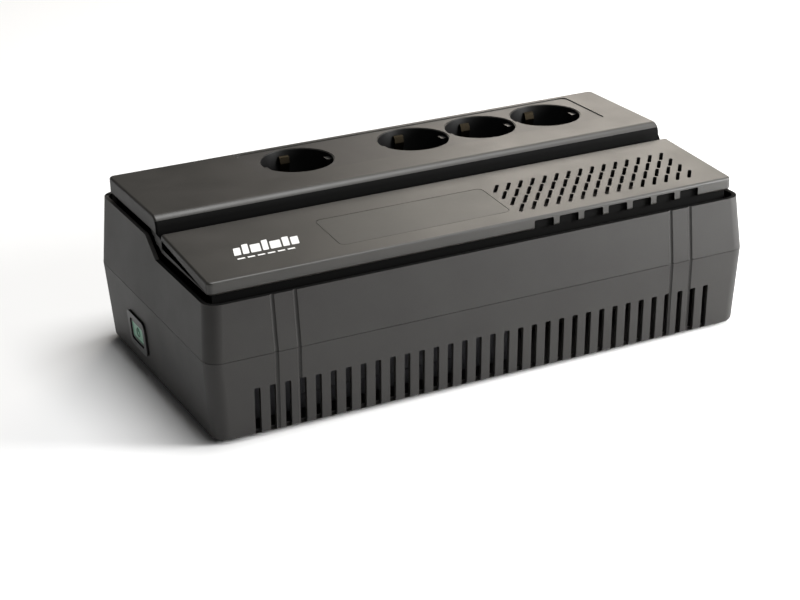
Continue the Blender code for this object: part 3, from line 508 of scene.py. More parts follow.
# %% Lower housing: slots
SLOT_COUNT, SLOT_PITCH, SLOT_WIDTH = 33, 8.0, 3.2
SLOT_LOW, SLOT_HIGH = 2.4, 27.2


def rounded_box(name, x, y, z, along, radius, segments):
    """A box whose four edges along one axis are rounded."""
    obj = box_at(name, x, y, z)
    axis = "XYZ".index(along)
    low, high = (x, y, z)[axis]
    pick(obj, "EDGE", lambda c, s, e: s[axis] > 0.9 * (high - low))
    round_off(radius, segments)
    return obj


def row(obj, count, step):
    """Repeats obj in its own mesh, each time a step in millimetres further."""
    apply_modifier(obj, "ARRAY", count=count, use_relative_offset=False,
                   use_constant_offset=True, constant_offset_displace=[d * MM for d in step])


first = -(SLOT_COUNT - 1) / 2 * SLOT_PITCH
slots = rounded_box("slots", (first - SLOT_WIDTH / 2, first + SLOT_WIDTH / 2),
                    (-HALF_Y - 4, -HALF_Y + 5.0), (SLOT_LOW, SLOT_HIGH), "Y", 0.7, 3)
row(slots, SLOT_COUNT, (SLOT_PITCH, 0, 0))
apply_modifier(slots, "MIRROR", use_axis=(False, True, False))
cut(lower, slots)
print("slots cut", SLOT_COUNT * 2)

# %% [markdown]
# ## Grooves and end openings
# Two pairs of soft grooves run down each long face and hide the sink marks over the ribs inside.
# A rod laid along the sloping wall, a little proud of it, cuts a groove with a round bottom.

# %% Grooves
GROOVE_X, GROOVE_R, GROOVE_OUT = (-117.4, -105.6, 105.6, 117.4), 1.2, 0.45


def grooves(obj, z, inset):
    """Cuts the grooves in a wall whose middle height is z; its slope is inset over its height."""
    height = SEAM_Z - FLOOR_Z if z < SEAM_Z else RIM_Z - SEAM_Z
    lean = math.atan(inset / height) * (1 if z < SEAM_Z else -1)
    y = -HALF_Y + inset * abs(z - SEAM_Z) / height - GROOVE_OUT
    rods = [rod_at("groove", (x, y, z), GROOVE_R, height + 12, (lean, 0, 0), 24) for x in GROOVE_X]
    cutter = join("grooves", rods)
    apply_modifier(cutter, "MIRROR", use_axis=(False, True, False))
    cut(obj, cutter)


grooves(lower, (FLOOR_Z + SEAM_Z) / 2, LOW_INSET)

LOWER_LEAN = math.atan(LOW_INSET / (SEAM_Z - FLOOR_Z))
BUTTON_Z, INLET_Z = 21.0, 23.0
BUTTON_AT = Vector((-(HALF_X - LOW_INSET * (SEAM_Z - BUTTON_Z) / (SEAM_Z - FLOOR_Z)), 26.0,
                    BUTTON_Z))
INLET_AT = Vector((HALF_X - LOW_INSET * (SEAM_Z - INLET_Z) / (SEAM_Z - FLOOR_Z), 14.0, INLET_Z))
BREAKER_AT = Vector((INLET_AT.x, 48.0, INLET_Z))
cut(lower, box_at("button_hole", (-160, -140), (14.5, 37.5), (13.0, 29.0)))
cut(lower, box_at("inlet_hole", (140, 160), (0.0, 28.0), (12.7, 33.3)))
cut(lower, rod_at("breaker_hole", (150, BREAKER_AT.y, INLET_Z), 6.3, 20, ALONG_X))
soften(lower, 0.2)
complete(lower, "case", "case_plastic", CASE, "lower_housing")

# %% [markdown]
# ## Upper housing
# The same box turned over: it narrows upwards, and its rim climbs a slanted step from the front
# part to the higher rear part.  Inside the rim a flange carries a collar that centres the lid
# and closes the shadow gap under it.

# %% Upper housing
RIM_FRONT, STEP_Y = 72.8, (-8.0, 7.0)


def also(obj, material, test):
    """Gives a second material to the faces whose middle, in millimetres, passes test."""
    obj.data.materials.append(material)
    for face in obj.data.polygons:
        if test(face.center / MM):
            face.material_index = len(obj.data.materials) - 1


upper = tapered_box("upper_case", SEAM_Z + SEAM, RIM_Z, 1, TOP_INSET)
to_shell(upper, lambda up: abs(up) > 0.9)

step = box_at("rim_step", (-200, 200), (-100, STEP_Y[1]), (RIM_FRONT, 110))
pick(step, "FACE", lambda c, s, e: True)
bpy.ops.mesh.bisect(plane_co=(0, STEP_Y[0] * MM, 0), plane_no=(0, 1, 0))
pick(step, "VERT", lambda c, s, e: c.y > STEP_Y[1] - 0.1 and c.z < RIM_FRONT + 0.1)
bpy.ops.transform.translate(value=(0, 0, (RIM_Z - RIM_FRONT) * MM))
cut(upper, step)

# flange and collar: a frame is a box with a smaller box cut from it
flange = rounded_box("flange", (-149.6, 149.6), (-77.6, 77.6), (64.6, 66.6), "Z", 7.0, 6)
cut(upper, flange, "UNION")
collar = box_at("collar", (-144.4, 144.4), (-70.1, 66.8), (65.0, 77.2))
cut(upper, collar, "UNION")
cut(upper, box_at("rear_collar", (-144.4, 144.4), (0.5, 66.8), (70.0, 88.5)), "UNION")
cut(upper, box_at("inside", (-142.6, 142.6), (-68.3, 65.0), (60.0, 100.0)))
posts = [rod_at("post", (x, y, 54.6), 4.2, 20.6, sides=32) for x, y in POSTS]
cut(upper, join("posts", posts), "UNION")
grooves(upper, (SEAM_Z + RIM_Z) / 2, TOP_INSET)
soften(upper, 0.25)
complete(upper, "case", "case_plastic", CASE, "upper_housing")
# painted shade: what lies deep between rim and collar gets the near-black matt material, standing
# for the shadow there
also(upper, PAINTED_SHADE, lambda c: c.z > 64.0 and abs(c.x) < 147.6 and -75.6 < c.y < 75.6 and (
    abs(c.x) > 142.9 or c.y < -68.6 or c.y > 65.3))

# %% [markdown]
# ## The lid
# The lid is one moulding with two strips.  The front strip slopes down to the user and holds the
# vents, the rear one is flat, higher, and holds the sockets, and a deep channel parts them.  It
# is cut from one block: first the slope, the channel and the underside, then broad shoulders
# along the channel, then a fine radius everywhere, and only then the hollow and the openings.

# %% Lid: the block
LID_X, LID_FRONT, LID_BACK, LID_TOP = 147.1, -72.8, 69.5, 93.0
STRIP_LOW, STRIP_HIGH = 82.2, 86.5
CHANNEL_Y, CHANNEL_Z = (-9.2, -3.4), 80.0
SKIRT_FRONT, SKIRT_REAR = 75.6, 84.0
STRIP_LEAN = math.atan((STRIP_HIGH - STRIP_LOW) / (CHANNEL_Y[0] - LID_FRONT))


def strip_z(y):
    """Height of the front strip's face."""
    return STRIP_LOW + (y - LID_FRONT) * math.tan(STRIP_LEAN)


lid = rounded_box("lid", (-LID_X, LID_X), (LID_FRONT, LID_BACK), (SKIRT_FRONT, LID_TOP),
                  "Z", 3.0, 8)
wedge = box_at("wedge", (-160, 160), (-90, CHANNEL_Y[0]), (strip_z(-90), 110))
pick(wedge, "VERT", lambda c, s, e: c.y > -50 and c.z < 100)
bpy.ops.transform.translate(value=(0, 0, (strip_z(CHANNEL_Y[0]) - strip_z(-90)) * MM))
cut(lid, wedge)
cut(lid, box_at("channel", (-160, 160), (CHANNEL_Y[0] - 0.001, CHANNEL_Y[1]), (CHANNEL_Z, 110)))
under = box_at("under", (-160, 160), (CHANNEL_Y[0], 90), (40, SKIRT_REAR))
pick(under, "FACE", lambda c, s, e: True)
bpy.ops.mesh.bisect(plane_co=(0, 6.0 * MM, 0), plane_no=(0, 1, 0))
pick(under, "VERT", lambda c, s, e: c.y < 0 and c.z > 60)
bpy.ops.transform.translate(value=(0, 0, (SKIRT_FRONT - SKIRT_REAR - 0.001) * MM))
cut(lid, under)
shoulders = 0
for y, low, radius in ((CHANNEL_Y[0], 84, 2.4), (CHANNEL_Y[1], 90, 5.5)):
    shoulders += pick(lid, "EDGE", lambda c, s, e: s.x > 200 and abs(c.y - y) < 0.1 and c.z > low)
    round_off(radius, 8)
soften(lid, 1.2, 4, angle=50)
print("lid block: shoulders", shoulders, "faces", len(lid.data.polygons))

# %% Lid: hollow, label and windows
LID_WALL = 2.4
hollow = box_at("front_hollow", (-LID_X + LID_WALL, LID_X - LID_WALL),
                (LID_FRONT + LID_WALL, CHANNEL_Y[0] - LID_WALL), (60, strip_z(LID_FRONT) - 2.2))
pick(hollow, "VERT", lambda c, s, e: c.y > -40 and c.z > 70)
bpy.ops.transform.translate(value=(0, 0, (strip_z(CHANNEL_Y[0]) - strip_z(LID_FRONT) - 0.3) * MM))
cut(lid, hollow)
cut(lid, box_at("rear_hollow", (-LID_X + LID_WALL, LID_X - LID_WALL),
                (CHANNEL_Y[1] + LID_WALL, LID_BACK - LID_WALL), (60, 88.9)))
cut(lid, box_at("link", (-LID_X + LID_WALL, LID_X - LID_WALL),
                (CHANNEL_Y[0] - 4, CHANNEL_Y[1] + 4), (60, CHANNEL_Z - LID_WALL)))

WINDOW_COUNT, WINDOW_X0, WINDOW_PITCH = 7, 33.6, 14.46
windows = rounded_box("windows", (WINDOW_X0 - 5.6, WINDOW_X0 + 5.6),
                      (LID_FRONT - 4, LID_FRONT + 1.9), (70, 80.4), "Y", 0.8, 3)
row(windows, WINDOW_COUNT, (WINDOW_PITCH, 0, 0))
cut(lid, windows)

LABEL_X, LABEL_Y = (-73.0, 21.5), (-61.0, -28.0)


def settle(obj, place, turn):
    """Puts a piece that was built round the origin in its place on the case."""
    alone(obj)
    obj.location, obj.rotation_euler = Vector(place) * MM, turn
    bpy.ops.object.transform_apply(location=True, rotation=True, scale=True)


recess = rounded_box("label_recess", LABEL_X, LABEL_Y, (0, 10), "Z", 3.3, 6)
settle(recess, (0, 0, strip_z(0) - 0.4), (STRIP_LEAN, 0, 0))
cut(lid, recess)
print("lid hollowed")

# %% [markdown]
# ## Vents in the lid
# Sixty leaning slots in four rows let the warm air of the transformer out.  One slot with round
# ends is modelled, turned to its lean, and repeated in both directions before it cuts.

# %% Lid: vents and the pocket for the sockets
VENT_COLUMNS, VENT_ROWS = 15, 4
VENT_X0, VENT_Y0, VENT_PITCH, VENT_STEP = 28.3, -59.2, 7.23, 9.0
VENT_LEAN, VENT_WIDTH, VENT_LENGTH = math.radians(36), 2.0, 10.5

vents = rounded_box("vents", (-VENT_WIDTH / 2, VENT_WIDTH / 2),
                    (-VENT_LENGTH / 2, VENT_LENGTH / 2), (-10, 10), "Z", 0.9, 4)
settle(vents, (VENT_X0, VENT_Y0, 84.0), (0, 0, -VENT_LEAN))
row(vents, VENT_COLUMNS, (VENT_PITCH, 0, 0))
row(vents, VENT_ROWS, (0, VENT_STEP, 0))
cut(lid, vents)

INSERT_X, INSERT_Y, INSERT_TOP = (-77.5, 127.5), (21.0, 66.0), 92.5
SOCKET_X, SOCKET_Y = (-50.5, 18.5, 60.0, 101.5), 43.5
pocket = rounded_box("insert_pocket", INSERT_X, INSERT_Y, (90.0, 110), "Z", 3.3, 6)
cut(lid, pocket)
cut(lid, box_at("well_hole", (-71.5, -29.5), (22.5, 64.5), (80, 110)))
cut(lid, box_at("well_holes", (-2.5, 122.5), (22.5, 64.5), (80, 110)))
soften(lid, 0.25)
complete(lid, "case", "cover_plastic", LID, "top_cover")
# painted shade: the depth of the channel and the backs of the windows get the near-black matt
# material, standing for the shadow in them
also(lid, PAINTED_SHADE, lambda c: CHANNEL_Y[0] - 0.4 < c.y < CHANNEL_Y[1] + 2.6 and 79 < c.z < 90.4
     or LID_FRONT + 0.4 < c.y < LID_FRONT + 2.1 and c.x > WINDOW_X0 - 6 and c.z < 80.6)
# the short ends of the lid have the duller grain of the case
also(lid, CASE, lambda c: abs(c.x) > LID_X - 0.2)

# %% [markdown]
# ## Socket insert
# One black moulding holds the four wells.  A well is a cup: a rod with a smaller rod cut from
# it, two guide ribs at its sides, two holes for the pins and two slits for the earth springs.
# The cup is made once, copied four times and joined to the plate.

# %% Socket insert
WELL_R = 19.6


def twin(obj, name, move):
    """A copy with its own mesh, moved by so many millimetres."""
    copy = obj.copy()
    copy.data = obj.data.copy()
    copy.name = name
    bpy.context.scene.collection.objects.link(copy)
    alone(copy)
    copy.location = Vector(move) * MM
    bpy.ops.object.transform_apply(location=True, rotation=True, scale=True)
    return copy


cup = rod_at("cup", (0, 0, 82.3), WELL_R + 1.0, 19.6, sides=72)
cut(cup, rod_at("bore", (0, 0, 95.0), WELL_R, 40.0, sides=72))
for side in (-1, 1):
    rib = sorted((side * (WELL_R - 3.3), side * (WELL_R + 0.4)))
    cut(cup, box_at("rib", rib, (-2.5, 2.5), (74.0, 90.6)), "UNION")
for side in (-1, 1):
    cut(cup, rod_at("pin_hole", (side * 9.5, 0, 74), 2.6, 12.0, sides=32))
    slit = sorted((side * (WELL_R - 3.4), side * (WELL_R - 0.5)))
    cut(cup, box_at("slit", (-3.4, 3.4), slit, (68.0, 76.5)))

plate = rounded_box("socket_insert", (INSERT_X[0] + 0.2, INSERT_X[1] - 0.2),
                    (INSERT_Y[0] + 0.2, INSERT_Y[1] - 0.2), (90.3, INSERT_TOP), "Z", 3.0, 6)
for x in SOCKET_X:
    cut(plate, rod_at("hole", (x, SOCKET_Y, 91), WELL_R + 0.5, 10, sides=72))
for i, x in enumerate(SOCKET_X):
    cut(plate, twin(cup, "cup_%d" % i, (x, SOCKET_Y, 0)), "UNION")
bpy.data.objects.remove(cup)
soften(plate, 0.3)
complete(plate, "case", "socket_plastic", BLACK_PC, "outlet_insert")
# the face of the insert is textured like the lid; the wells are polished black
also(plate, INSERT, lambda c: c.z > 91.9)

# %% [markdown]
# ## Earth springs
# A bent strip of spring bronze goes round under each well and shows as two springs that
# lean in towards the plug.  A thin strip is extruded face by face from its ends along its
# bends.

# %% Earth springs
ARM = 18.3


def complete_each(obj, name, places, body, slot, material, node):
    """Finishes a numbered copy of obj at each place, for the node of that number; obj goes."""
    parts = []
    for i, place in enumerate(places, 1):
        parts.append(twin(obj, "%s_%d" % (name, i), place))
        complete(parts[-1], body, slot, material, "%s_%d" % (node, i))
    bpy.data.objects.remove(obj)
    return parts


strip = box_at("earth_spring", (-2.8, 2.8), (-ARM, ARM), (70.2, 70.9))
bends = ((0.0, 10.5), (-1.3, 4.0), (1.1, 3.2), (0.9, 0.7))
for side in (-1, 1):
    pick(strip, "FACE", lambda c, s, e: e.normal.y * side > 0.9)
    bpy.ops.mesh.extrude_region_move(TRANSFORM_OT_translate={"value": (0, side * 0.7 * MM, 0)})
    pick(strip, "FACE", lambda c, s, e: e.normal.z > 0.9 and c.y * side > ARM)
    for out, rise in bends:
        bpy.ops.mesh.extrude_region_move(
            TRANSFORM_OT_translate={"value": (0, side * out * MM, rise * MM)})
soften(strip, 0.15, 2, 20)
# the springs take the near-black metal: painted shade of the wells they sit in
complete_each(strip, "earth_spring", [(x, SOCKET_Y, 0) for x in SOCKET_X], "case",
              "nickel_brass", SPRING_PAINTED_SHADE, "earth_strap")

# %% [markdown]
# ## The generic mark
# The maker's printing is replaced by a plain row of leaning bars over a broken line, in the same
# white ink.  Each bar is a thin box sheared by moving its far edge, and all lie on the slope of
# the front strip.

# %% White mark
MARK_X, MARK_Y = -124.0, -49.5
BARS = (3.6, 8.0), (3.2, 10.5), (5.2, 8.6), (3.0, 11.0), (5.6, 8.2), (3.4, 10.0), (4.0, 8.4)
bars, x = [], 0.0
for width, height in BARS:
    bar = box_at("bar", (x, x + width), (0, height), (0.0, 0.06))
    pick(bar, "VERT", lambda c, s, e: c.y > 1)
    bpy.ops.transform.translate(value=(height * 0.28 * MM, 0, 0))
    pick(bar, "EDGE", lambda c, s, e: s.z > 0.01 and s.y < 0.1)
    round_off(0.5, 3)
    bars.append(bar)
    x += width + 1.0
for i in range(6):
    bars.append(box_at("dash", (i * 5.2, i * 5.2 + 3.8), (-4.6, -3.4), (0.0, 0.06)))
mark = join("front_mark", bars)
settle(mark, (MARK_X, MARK_Y, strip_z(MARK_Y) + 0.02), (STRIP_LEAN, 0, 0))
complete(mark, "case", "white_print", INK)

# %% [markdown]
# ## Power button
# The button stands in a black frame on the short end, square to the leaning wall.  It is built
# flat, looking along -X, and settled on the wall at the end.  Its middle is a green window, and
# a ring with a gap and a bar, the common sign for standby, is raised on it.

# %% Power button
bezel = rounded_box("button_frame", (-1.2, 1.0), (-13, 13), (-9.5, 9.5), "X", 3.5, 8)
sleeve = box_at("sleeve", (-0.5, 9.0), (-11.1, 11.1), (-7.6, 7.6))
cut(bezel, sleeve, "UNION")
opening = rounded_box("opening", (-5, 12), (-9.6, 9.6), (-6.1, 6.1), "X", 2.6, 6)
cut(bezel, opening)
soften(bezel, 0.35, 3)
settle(bezel, BUTTON_AT, (0, -LOWER_LEAN, 0))
complete(bezel, "case", "socket_plastic", BLACK_PC, "button_bezel")

cap = rounded_box("power_button_cap", (-0.6, 5.5), (-9, 9), (-5.5, 5.5), "X", 2.2, 6)
pick(cap, "FACE", lambda c, s, e: e.normal.x < -0.9)
bpy.ops.mesh.inset(thickness=1.3 * MM, depth=0)
bpy.ops.mesh.inset(thickness=0.3 * MM, depth=-0.3 * MM)
ring = rod_at("ring", (-0.3, 0, 0), 2.5, 0.5, ALONG_X, 48)
cut(ring, rod_at("inner", (-0.3, 0, 0), 1.8, 2, ALONG_X, 48))
cut(ring, box_at("gap", (-3, 3), (-0.9, 0.9), (0.8, 6.0)))
cut(cap, ring, "UNION")
cut(cap, box_at("bar", (-0.55, 0.0), (-0.35, 0.35), (0.5, 2.9)), "UNION")
soften(cap, 0.12, 2)
settle(cap, BUTTON_AT, (0, -LOWER_LEAN, 0))
complete(cap, "power_button", "green_lens", BLACK_PC, "power_button")
# the depth below the cap's face tells the sunk window from the black rim and the raised sign
also(cap, LENS, lambda c: abs(c.y - BUTTON_AT.y) < 7.7 and abs(c.z - BUTTON_AT.z) < 4.2 and
     -0.47 < c.x - BUTTON_AT.x + (c.z - BUTTON_AT.z) * math.sin(LOWER_LEAN) < 0.2)

# %% [markdown]
# ## Mains inlet and breaker
# Power comes in at the other short end through a three-pin inlet: a flange outside, a deep well
# with two cut corners, and three flat blades.  Beside it sits the thermal breaker, whose neck
# passes through the wall, is held by a hexagonal nut, and carries the button that pops out when
# it trips.  All are built looking along +X and settled on the leaning wall.

# %% Mains inlet
BLADES = {"earth": (0.0, 2.4), "live": (-7.0, -2.4), "neutral": (7.0, -2.4)}

inlet = rounded_box("mains_inlet", (0.3, 2.4), (-16, 16), (-12, 12), "X", 2.0, 5)
cut(inlet, box_at("shroud", (-16, 2.2), (-13.5, 13.5), (-9.8, 9.8)), "UNION")
well = box_at("well", (-14, 8), (-12.0, 12.0), (-8.1, 8.1))
pick(well, "EDGE", lambda c, s, e: s.x > 9 and c.z > 0)
round_off(4.0, 1)
cut(inlet, well)
cut(inlet, join("slots", [box_at("slot", (-20, -10), (y - 1.2, y + 1.2), (z - 2.2, z + 2.2))
                          for y, z in BLADES.values()]))
soften(inlet, 0.35, 3)
settle(inlet, INLET_AT, (0, LOWER_LEAN, 0))
complete(inlet, "case", "socket_plastic", BLACK_PC, "inlet_body")
for use, (y, z) in BLADES.items():
    blade = box_at("inlet_blade_" + use, (-22, -3.0), (y - 1, y + 1), (z - 2, z + 2))
    pick(blade, "FACE", lambda c, s, e: e.normal.x > 0.9)
    bpy.ops.mesh.extrude_region_move(TRANSFORM_OT_translate={"value": (1.5 * MM, 0, 0)})
    bpy.ops.transform.resize(value=(1, 0.55, 0.75))
    soften(blade, 0.15, 2, 20)
    settle(blade, INLET_AT, (0, LOWER_LEAN, 0))
    complete(blade, "case", "nickel_brass", NICKEL, "inlet_pin_" + use)

# %% Breaker
breaker = box_at("breaker_case", (-30, -2.8), (-7.5, 7.5), (-11, 11))
cut(breaker, box_at("parting", (-22.4, -21.8), (-9, 9), (-13, 10.4)))
soften(breaker, 0.5, 3)
neck = rod_at("neck", (-1.6, 0, 0), 5.4, 9.0, ALONG_X)
for i in range(6):
    cut(neck, rod_at("thread", (-2.0 + i * 0.85, 0, 0), 5.7, 0.4, ALONG_X), "UNION")
cut(neck, rod_at("bore", (0, 0, 0), 4.0, 30.0, ALONG_X))
cut(breaker, neck, "UNION")
settle(breaker, BREAKER_AT, (0, LOWER_LEAN, 0))
complete(breaker, "case", "black_epoxy", EPOXY, "breaker_body")

nut = rod_at("breaker_ring_nut", (1.35, 0, 0), 8.6, 2.1, ALONG_X, 6)
cone = rod_at("cone", (1.35, 0, 0), 8.2, 2.4, ALONG_X, 64)
pick(cone, "EDGE", lambda c, s, e: c.x > 2 and s.x < 0.1)
round_off(0.7, 1)
apply_modifier(nut, "BOOLEAN", operation="INTERSECT", solver="EXACT", object=cone)
bpy.data.objects.remove(cone)
cut(nut, rod_at("bore", (0, 0, 0), 6.0, 12.0, ALONG_X))
soften(nut, 0.2)
settle(nut, BREAKER_AT, (0, LOWER_LEAN, 0))
complete(nut, "case", "socket_plastic", BLACK_PC, "breaker_nut")

reset = rod_at("breaker_reset_button", (-2.2, 0, 0), 3.6, 11.6, ALONG_X)
pick(reset, "EDGE", lambda c, s, e: c.x > 3 and s.x < 0.1)
round_off(0.9, 5)
cut(reset, rod_at("dimple", (7.4, 0, 0), 4.6, 8.0, (0, 0, 0), 64))
settle(reset, BREAKER_AT, (0, LOWER_LEAN, 0))
complete(reset, "breaker_button", "socket_plastic", BLACK_PC, "breaker_button")

# %% [markdown]
# ## Feet, screws and label
# Thin rubber feet are glued into the corners of the floor.  Four long screws come up from below
# through the posts; their round heads lie deep in the recesses and have a cross for the driver.
# The thread is made from a rod cut into rings, of which every second one is widened.  The label
# is a thin film in the shallow recess of the front strip.

# %% Feet, screws and label
foot = rod_at("rubber_foot", (0, 0, 0.6), 7.0, 1.2, sides=64)
pick(foot, "EDGE", lambda c, s, e: c.z < 0.1 and s.z < 0.1)
round_off(0.45, 4)
ring = rod_at("ring", (0, 0, 0), 4.8, 0.7, sides=48)
cut(ring, rod_at("middle", (0, 0, 0), 3.8, 2.0, sides=48))
cut(foot, ring)
complete_each(foot, "rubber_foot", [(x, y, 0) for y in (-60, 60) for x in (-124, 124)], "case",
              "rubber", RUBBER, "foot")

screw = rod_at("case_screw", (0, 0, 36.2), 1.15, 42.6, sides=24)
pick(screw, "EDGE", lambda c, s, e: s.z > 10)
bpy.ops.mesh.subdivide(number_cuts=70)
pick(screw, "VERT", lambda c, s, e: 20 < c.z < 56.5 and round((c.z - 14.9) / 0.6) % 2 == 0)
bpy.ops.transform.resize(value=(1.25, 1.25, 1.0))
head = rod_at("head", (0, 0, 14.0), 3.0, 3.0, sides=48)
pick(head, "EDGE", lambda c, s, e: c.z < 13 and s.z < 0.1)
round_off(1.1, 6)
cut(head, box_at("cross_x", (-2.0, 2.0), (-0.45, 0.45), (10, 14.2)))
cut(head, box_at("cross_y", (-0.45, 0.45), (-2.0, 2.0), (10, 14.2)))
cut(screw, head, "UNION")
complete_each(screw, "case_screw", [(x, y, 0) for x, y in POSTS], "case", "zinc_steel", ZINC,
              "housing_screw")

foil = rounded_box("label_foil", (LABEL_X[0] + 0.3, LABEL_X[1] - 0.3),
                   (LABEL_Y[0] + 0.3, LABEL_Y[1] - 0.3), (0.03, 0.38), "Z", 3.0, 6)
soften(foil, 0.1, 2)
settle(foil, (0, 0, strip_z(0) - 0.4), (STRIP_LEAN, 0, 0))
complete(foil, "case", "label_film", FILM, "label_film")

# %% [markdown]
# ## Battery and transformer
# The battery is a sealed box with a welded lid, a shade wider than the box, and a sunk panel in
# three of its sides.  The transformer is a stack of steel sheets, riveted at its corners, with the
# winding on its middle leg between two bobbin flanges, and a pressed strap holds it down.

# %% Battery
battery = rounded_box("battery_box", (-131.4, 18.4), (-65.9, 26.9), (4.1, 62.0), "Z", 2.6, 5)
for x in (-131.9, 18.9):
    cut(battery, box_at("side_panel", (x - 1, x + 1), (-56, 17), (12, 54)))
cut(battery, box_at("front_panel", (-100, -12), (-68, -65.4), (12, 54)))
cap_lid = rounded_box("battery_lid", (-132.0, 19.0), (-66.5, 27.5), (60.5, 69.1), "Z", 3.0, 6)
cut(battery, cap_lid, "UNION")
for x in (-96.0, -70.0, -44.0, -18.0):
    ring = rod_at("vent_cap", (x, -20, 69.0), 6.5, 1.2, sides=40)
    cut(ring, rod_at("middle", (x, -20, 69.0), 5.7, 3.0, sides=40))
    cut(battery, ring)
soften(battery, 0.6, 3)
complete(battery, "case", "battery_plastic", BATTERY_ABS, "battery")
for name, x, slot, finish, node in (
        ("battery_blade_plus", -118.0, "red_terminal", RED_TAB, "battery_tab_positive"),
        ("battery_blade_minus", 5.0, "zinc_steel", ZINC, "battery_tab_negative")):
    blade = box_at(name, (x - 0.4, x + 0.4), (26.7, 33.7), (34.8, 41.2))
    pick(blade, "EDGE", lambda c, s, e: c.y > 33 and s.x > 0.5)
    round_off(1.2, 4)
    cut(blade, rod_at("eye", (x, 30.8, 38), 1.0, 4, ALONG_X, 24))
    complete(blade, "case", slot, finish, node)

# %% Transformer
core = box_at("sheet_core", (37.0, 115.0), (-43.0, -1.0), (6.5, 71.5))
cut(core, box_at("window", (50.0, 63.0), (-50, 5), (19.5, 58.5)))
cut(core, box_at("window", (89.0, 102.0), (-50, 5), (19.5, 58.5)))
for x in (42.5, 109.5):
    for z in (12.0, 66.0):
        rivet = rod_at("rivet", (x, -22, z), 2.6, 44.0, ALONG_Y, 32)
        pick(rivet, "EDGE", lambda c, s, e: s.y < 0.1)
        round_off(0.7, 3)
        cut(core, rivet, "UNION")
soften(core, 0.4, 2)
complete(core, "case", "core_steel", LAMINATION, "transformer_core")

coil = rounded_box("winding", (51.6, 100.4), (-54.0, 10.0), (21.2, 56.8), "Z", 7.0, 8)
for z in ((19.8, 21.6), (56.4, 58.2)):
    flange = rounded_box("bobbin_flange", (50.3, 101.7), (-55.5, 11.5), z, "Z", 4.0, 5)
    cut(coil, flange, "UNION")
cut(coil, box_at("leg", (62.7, 89.3), (-43.3, -0.7), (10, 70)))
soften(coil, 0.3, 2)
complete(coil, "case", "copper_winding", WINDING, "transformer_coil")
also(coil, EPOXY, lambda c: c.z < 21.65 or c.z > 56.35)

strap = box_at("hold_down_strap", (35.4, 116.6), (-31, -13), (71.8, 73.1))
for side in (-1, 1):
    leg = sorted((76 + side * 39.3, 76 + side * 40.6))
    ear = sorted((76 + side * 39.8, 76 + side * 51.0))
    cut(strap, box_at("leg", leg, (-31, -13), (4.1, 72.5)), "UNION")
    cut(strap, box_at("ear", ear, (-31, -13), (4.0, 5.3)), "UNION")
    cut(strap, rod_at("eye", (76 + side * 46, -22, 5), 2.2, 6, sides=32))
soften(strap, 0.35, 2)
complete(strap, "case", "zinc_steel", ZINC, "transformer_bracket")

# %% [markdown]
# ## The control board
# A green board carries the power transistors on their finned heat sink, three relays, two tall
# capacitors, the alarm and the control chip.  Each part keeps the outline of the engineering
# model and gets what makes its kind plain: a tab with an eye, a crimped can, a row of legs.

# %% Board and heat sink
board = rounded_box("control_board", (-100, 118), (34, 72), (10.0, 11.6), "Z", 2.0, 4)
cut(board, join("eyes", [rod_at("eye", (x, y, 11), 1.7, 6, sides=24)
                         for x in (-96, 114) for y in (38, 68)]))
soften(board, 0.12, 1)
complete(board, "case", "circuit_board", BOARD, "main_board")

sink = box_at("finned_heat_sink", (-66, -5.9), (62.0, 64.5), (11.9, 44))
for i in range(7):
    x = -64.5 + i * 9.5
    cut(sink, box_at("fin", (x, x + 1.6), (64.0, 71.0), (11.9, 44)), "UNION")
soften(sink, 0.3, 2)
complete(sink, "case", "heat_sink_aluminium", ALUMINIUM, "heat_sink")

# %% Transistors, relays and chip
case = box_at("power_transistor", (-5, 5), (57.2, 61.7), (15.0, 22.4))
pick(case, "EDGE", lambda c, s, e: c.y < 57.3)
round_off(0.7, 2)
tab = box_at("tab", (-5, 5), (60.4, 61.69), (22.0, 27.9))
pick(tab, "EDGE", lambda c, s, e: s.y > 1 and c.z > 27)
round_off(1.2, 2)
cut(tab, rod_at("eye", (0, 61, 25.0), 1.8, 6, ALONG_Y, 32))
cut(case, tab, "UNION")
for x in (-2.54, 0, 2.54):
    cut(case, box_at("leg", (x - 0.4, x + 0.4), (59.0, 59.6), (11.9, 15.4)), "UNION")
soften(case, 0.1, 1)
for part in complete_each(case, "power_transistor", [(-58.0 + i * 15.0, 0, 0) for i in range(4)],
                          "case", "black_epoxy", EPOXY, "transistor"):
    also(part, ZINC, lambda c: c.z < 14.9 or c.z > 22.5)

relay = box_at("relay_case", (-9.5, 9.5), (38.0, 53.5), (11.9, 26.9))
pick(relay, "FACE", lambda c, s, e: e.normal.z > 0.9)
bpy.ops.mesh.inset(thickness=1.2 * MM, depth=0)
bpy.ops.mesh.inset(thickness=0.4 * MM, depth=-0.4 * MM)
soften(relay, 0.18, 3)
complete_each(relay, "relay_case", [(24.0 + i * 23.0, 0, 0) for i in range(3)], "case",
              "relay_case", RELAY, "relay")

chip = box_at("logic_chip", (-49.8, -32.2), (41.0, 47.0), (12.6, 14.9))
cut(chip, rod_at("pin_one_dot", (-48, 44, 15.2), 0.9, 1.2, sides=24))
soften(chip, 0.15, 1)
for i in range(7):
    x = -48.6 + i * 2.54
    for near, far in ((40.0, 41.4), (46.6, 48.0)):
        cut(chip, box_at("leg", (x - 0.25, x + 0.25), (near, far), (13.3, 13.6)), "UNION")
        tip = (40.0, 40.3) if near < 44 else (47.7, 48.0)
        cut(chip, box_at("leg", (x - 0.25, x + 0.25), tip, (11.9, 13.5)), "UNION")
complete(chip, "case", "black_epoxy", EPOXY, "control_chip")
also(chip, ZINC, lambda c: c.y < 40.9 or c.y > 47.1)

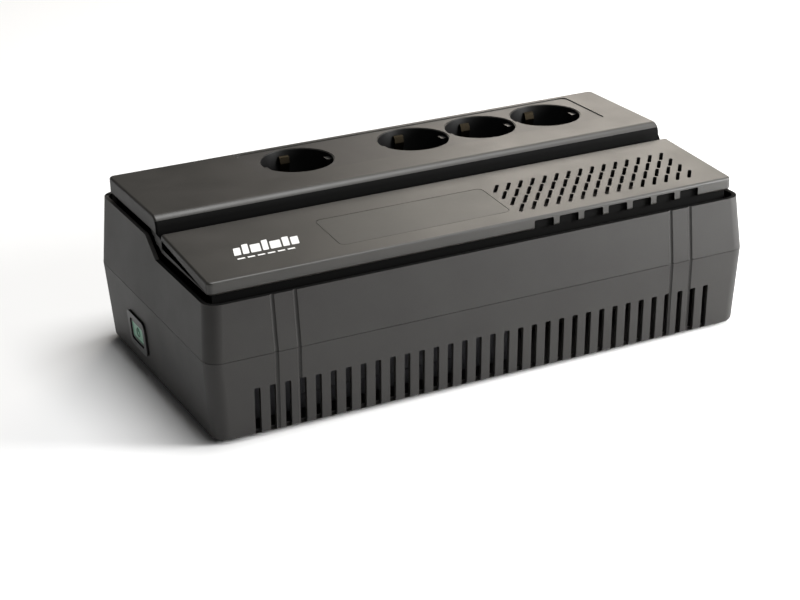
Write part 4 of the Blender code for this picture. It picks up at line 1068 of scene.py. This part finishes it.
# %% Capacitors and sounder
can = rod_at("capacitor_can", (0, 0, 25.9), 8.0, 28.0, sides=64)
pick(can, "EDGE", lambda c, s, e: s.z < 0.1)
round_off(0.9, 4)
crimp = rod_at("crimp", (0, 0, 15.4), 9.0, 1.4, sides=64)
cut(crimp, rod_at("core", (0, 0, 15.4), 7.3, 4.0, sides=64))
cut(can, crimp)
cut(can, box_at("vent", (-5.0, 5.0), (-0.25, 0.25), (39.6, 41)))
cut(can, box_at("vent", (-0.25, 0.25), (-5.0, 5.0), (39.6, 41)))
soften(can, 0.15, 2)
CANS_AT = ((-80.0, 44.0, 0), (99.0, 60.0, 0))
cans = complete_each(can, "capacitor_can", CANS_AT, "case", "capacitor_sleeve", SLEEVE, "capacitor")
for part, (x, y, z) in zip(cans, CANS_AT):
    also(part, ALUMINIUM, lambda c: c.z > 39.2 and math.hypot(c.x - x, c.y - y) < 6.9)

sounder = rod_at("alarm_can", (60, 64, 16.4), 6.0, 9.0, sides=56)
pick(sounder, "EDGE", lambda c, s, e: c.z > 20 and s.z < 0.1)
round_off(0.8, 4)
cut(sounder, rod_at("sound_hole", (60, 64, 20.5), 1.3, 4.0, sides=32))
complete(sounder, "case", "black_epoxy", EPOXY, "alarm_sounder")

# %% [markdown]
# ## Carried-over parts
# The contact bars and their tray, the shutters under the wells, the board behind the button with
# its switch and lamp, and the two battery leads keep the shape of the engineering model, as they
# are hardly seen.  Each gets the finish of its real material.

# %% Materials of the engineering nodes
FINISHES = {
    "socket_shutter": BLACK_PC, "contact_tray": BLACK_PC, "neutral_bar": NICKEL,
    "live_bar": NICKEL, "button_board": BOARD, "tact_switch": EPOXY, "indicator_led": LENS,
    "battery_lead_red": RED_PVC, "battery_lead_black": BLACK_PVC,
}
for name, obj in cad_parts.items():
    if obj.hide_render:
        continue
    family = max((f for f in FINISHES if name.startswith(f)), key=len)
    obj.data.materials.clear()
    obj.data.materials.append(FINISHES[family])
print("nodes finished", sum(not o.hide_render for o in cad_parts.values()))

# %% [markdown]
# ## Last step
# Nothing is left selected at the end.

# %% Clearing the selection
alone(None)
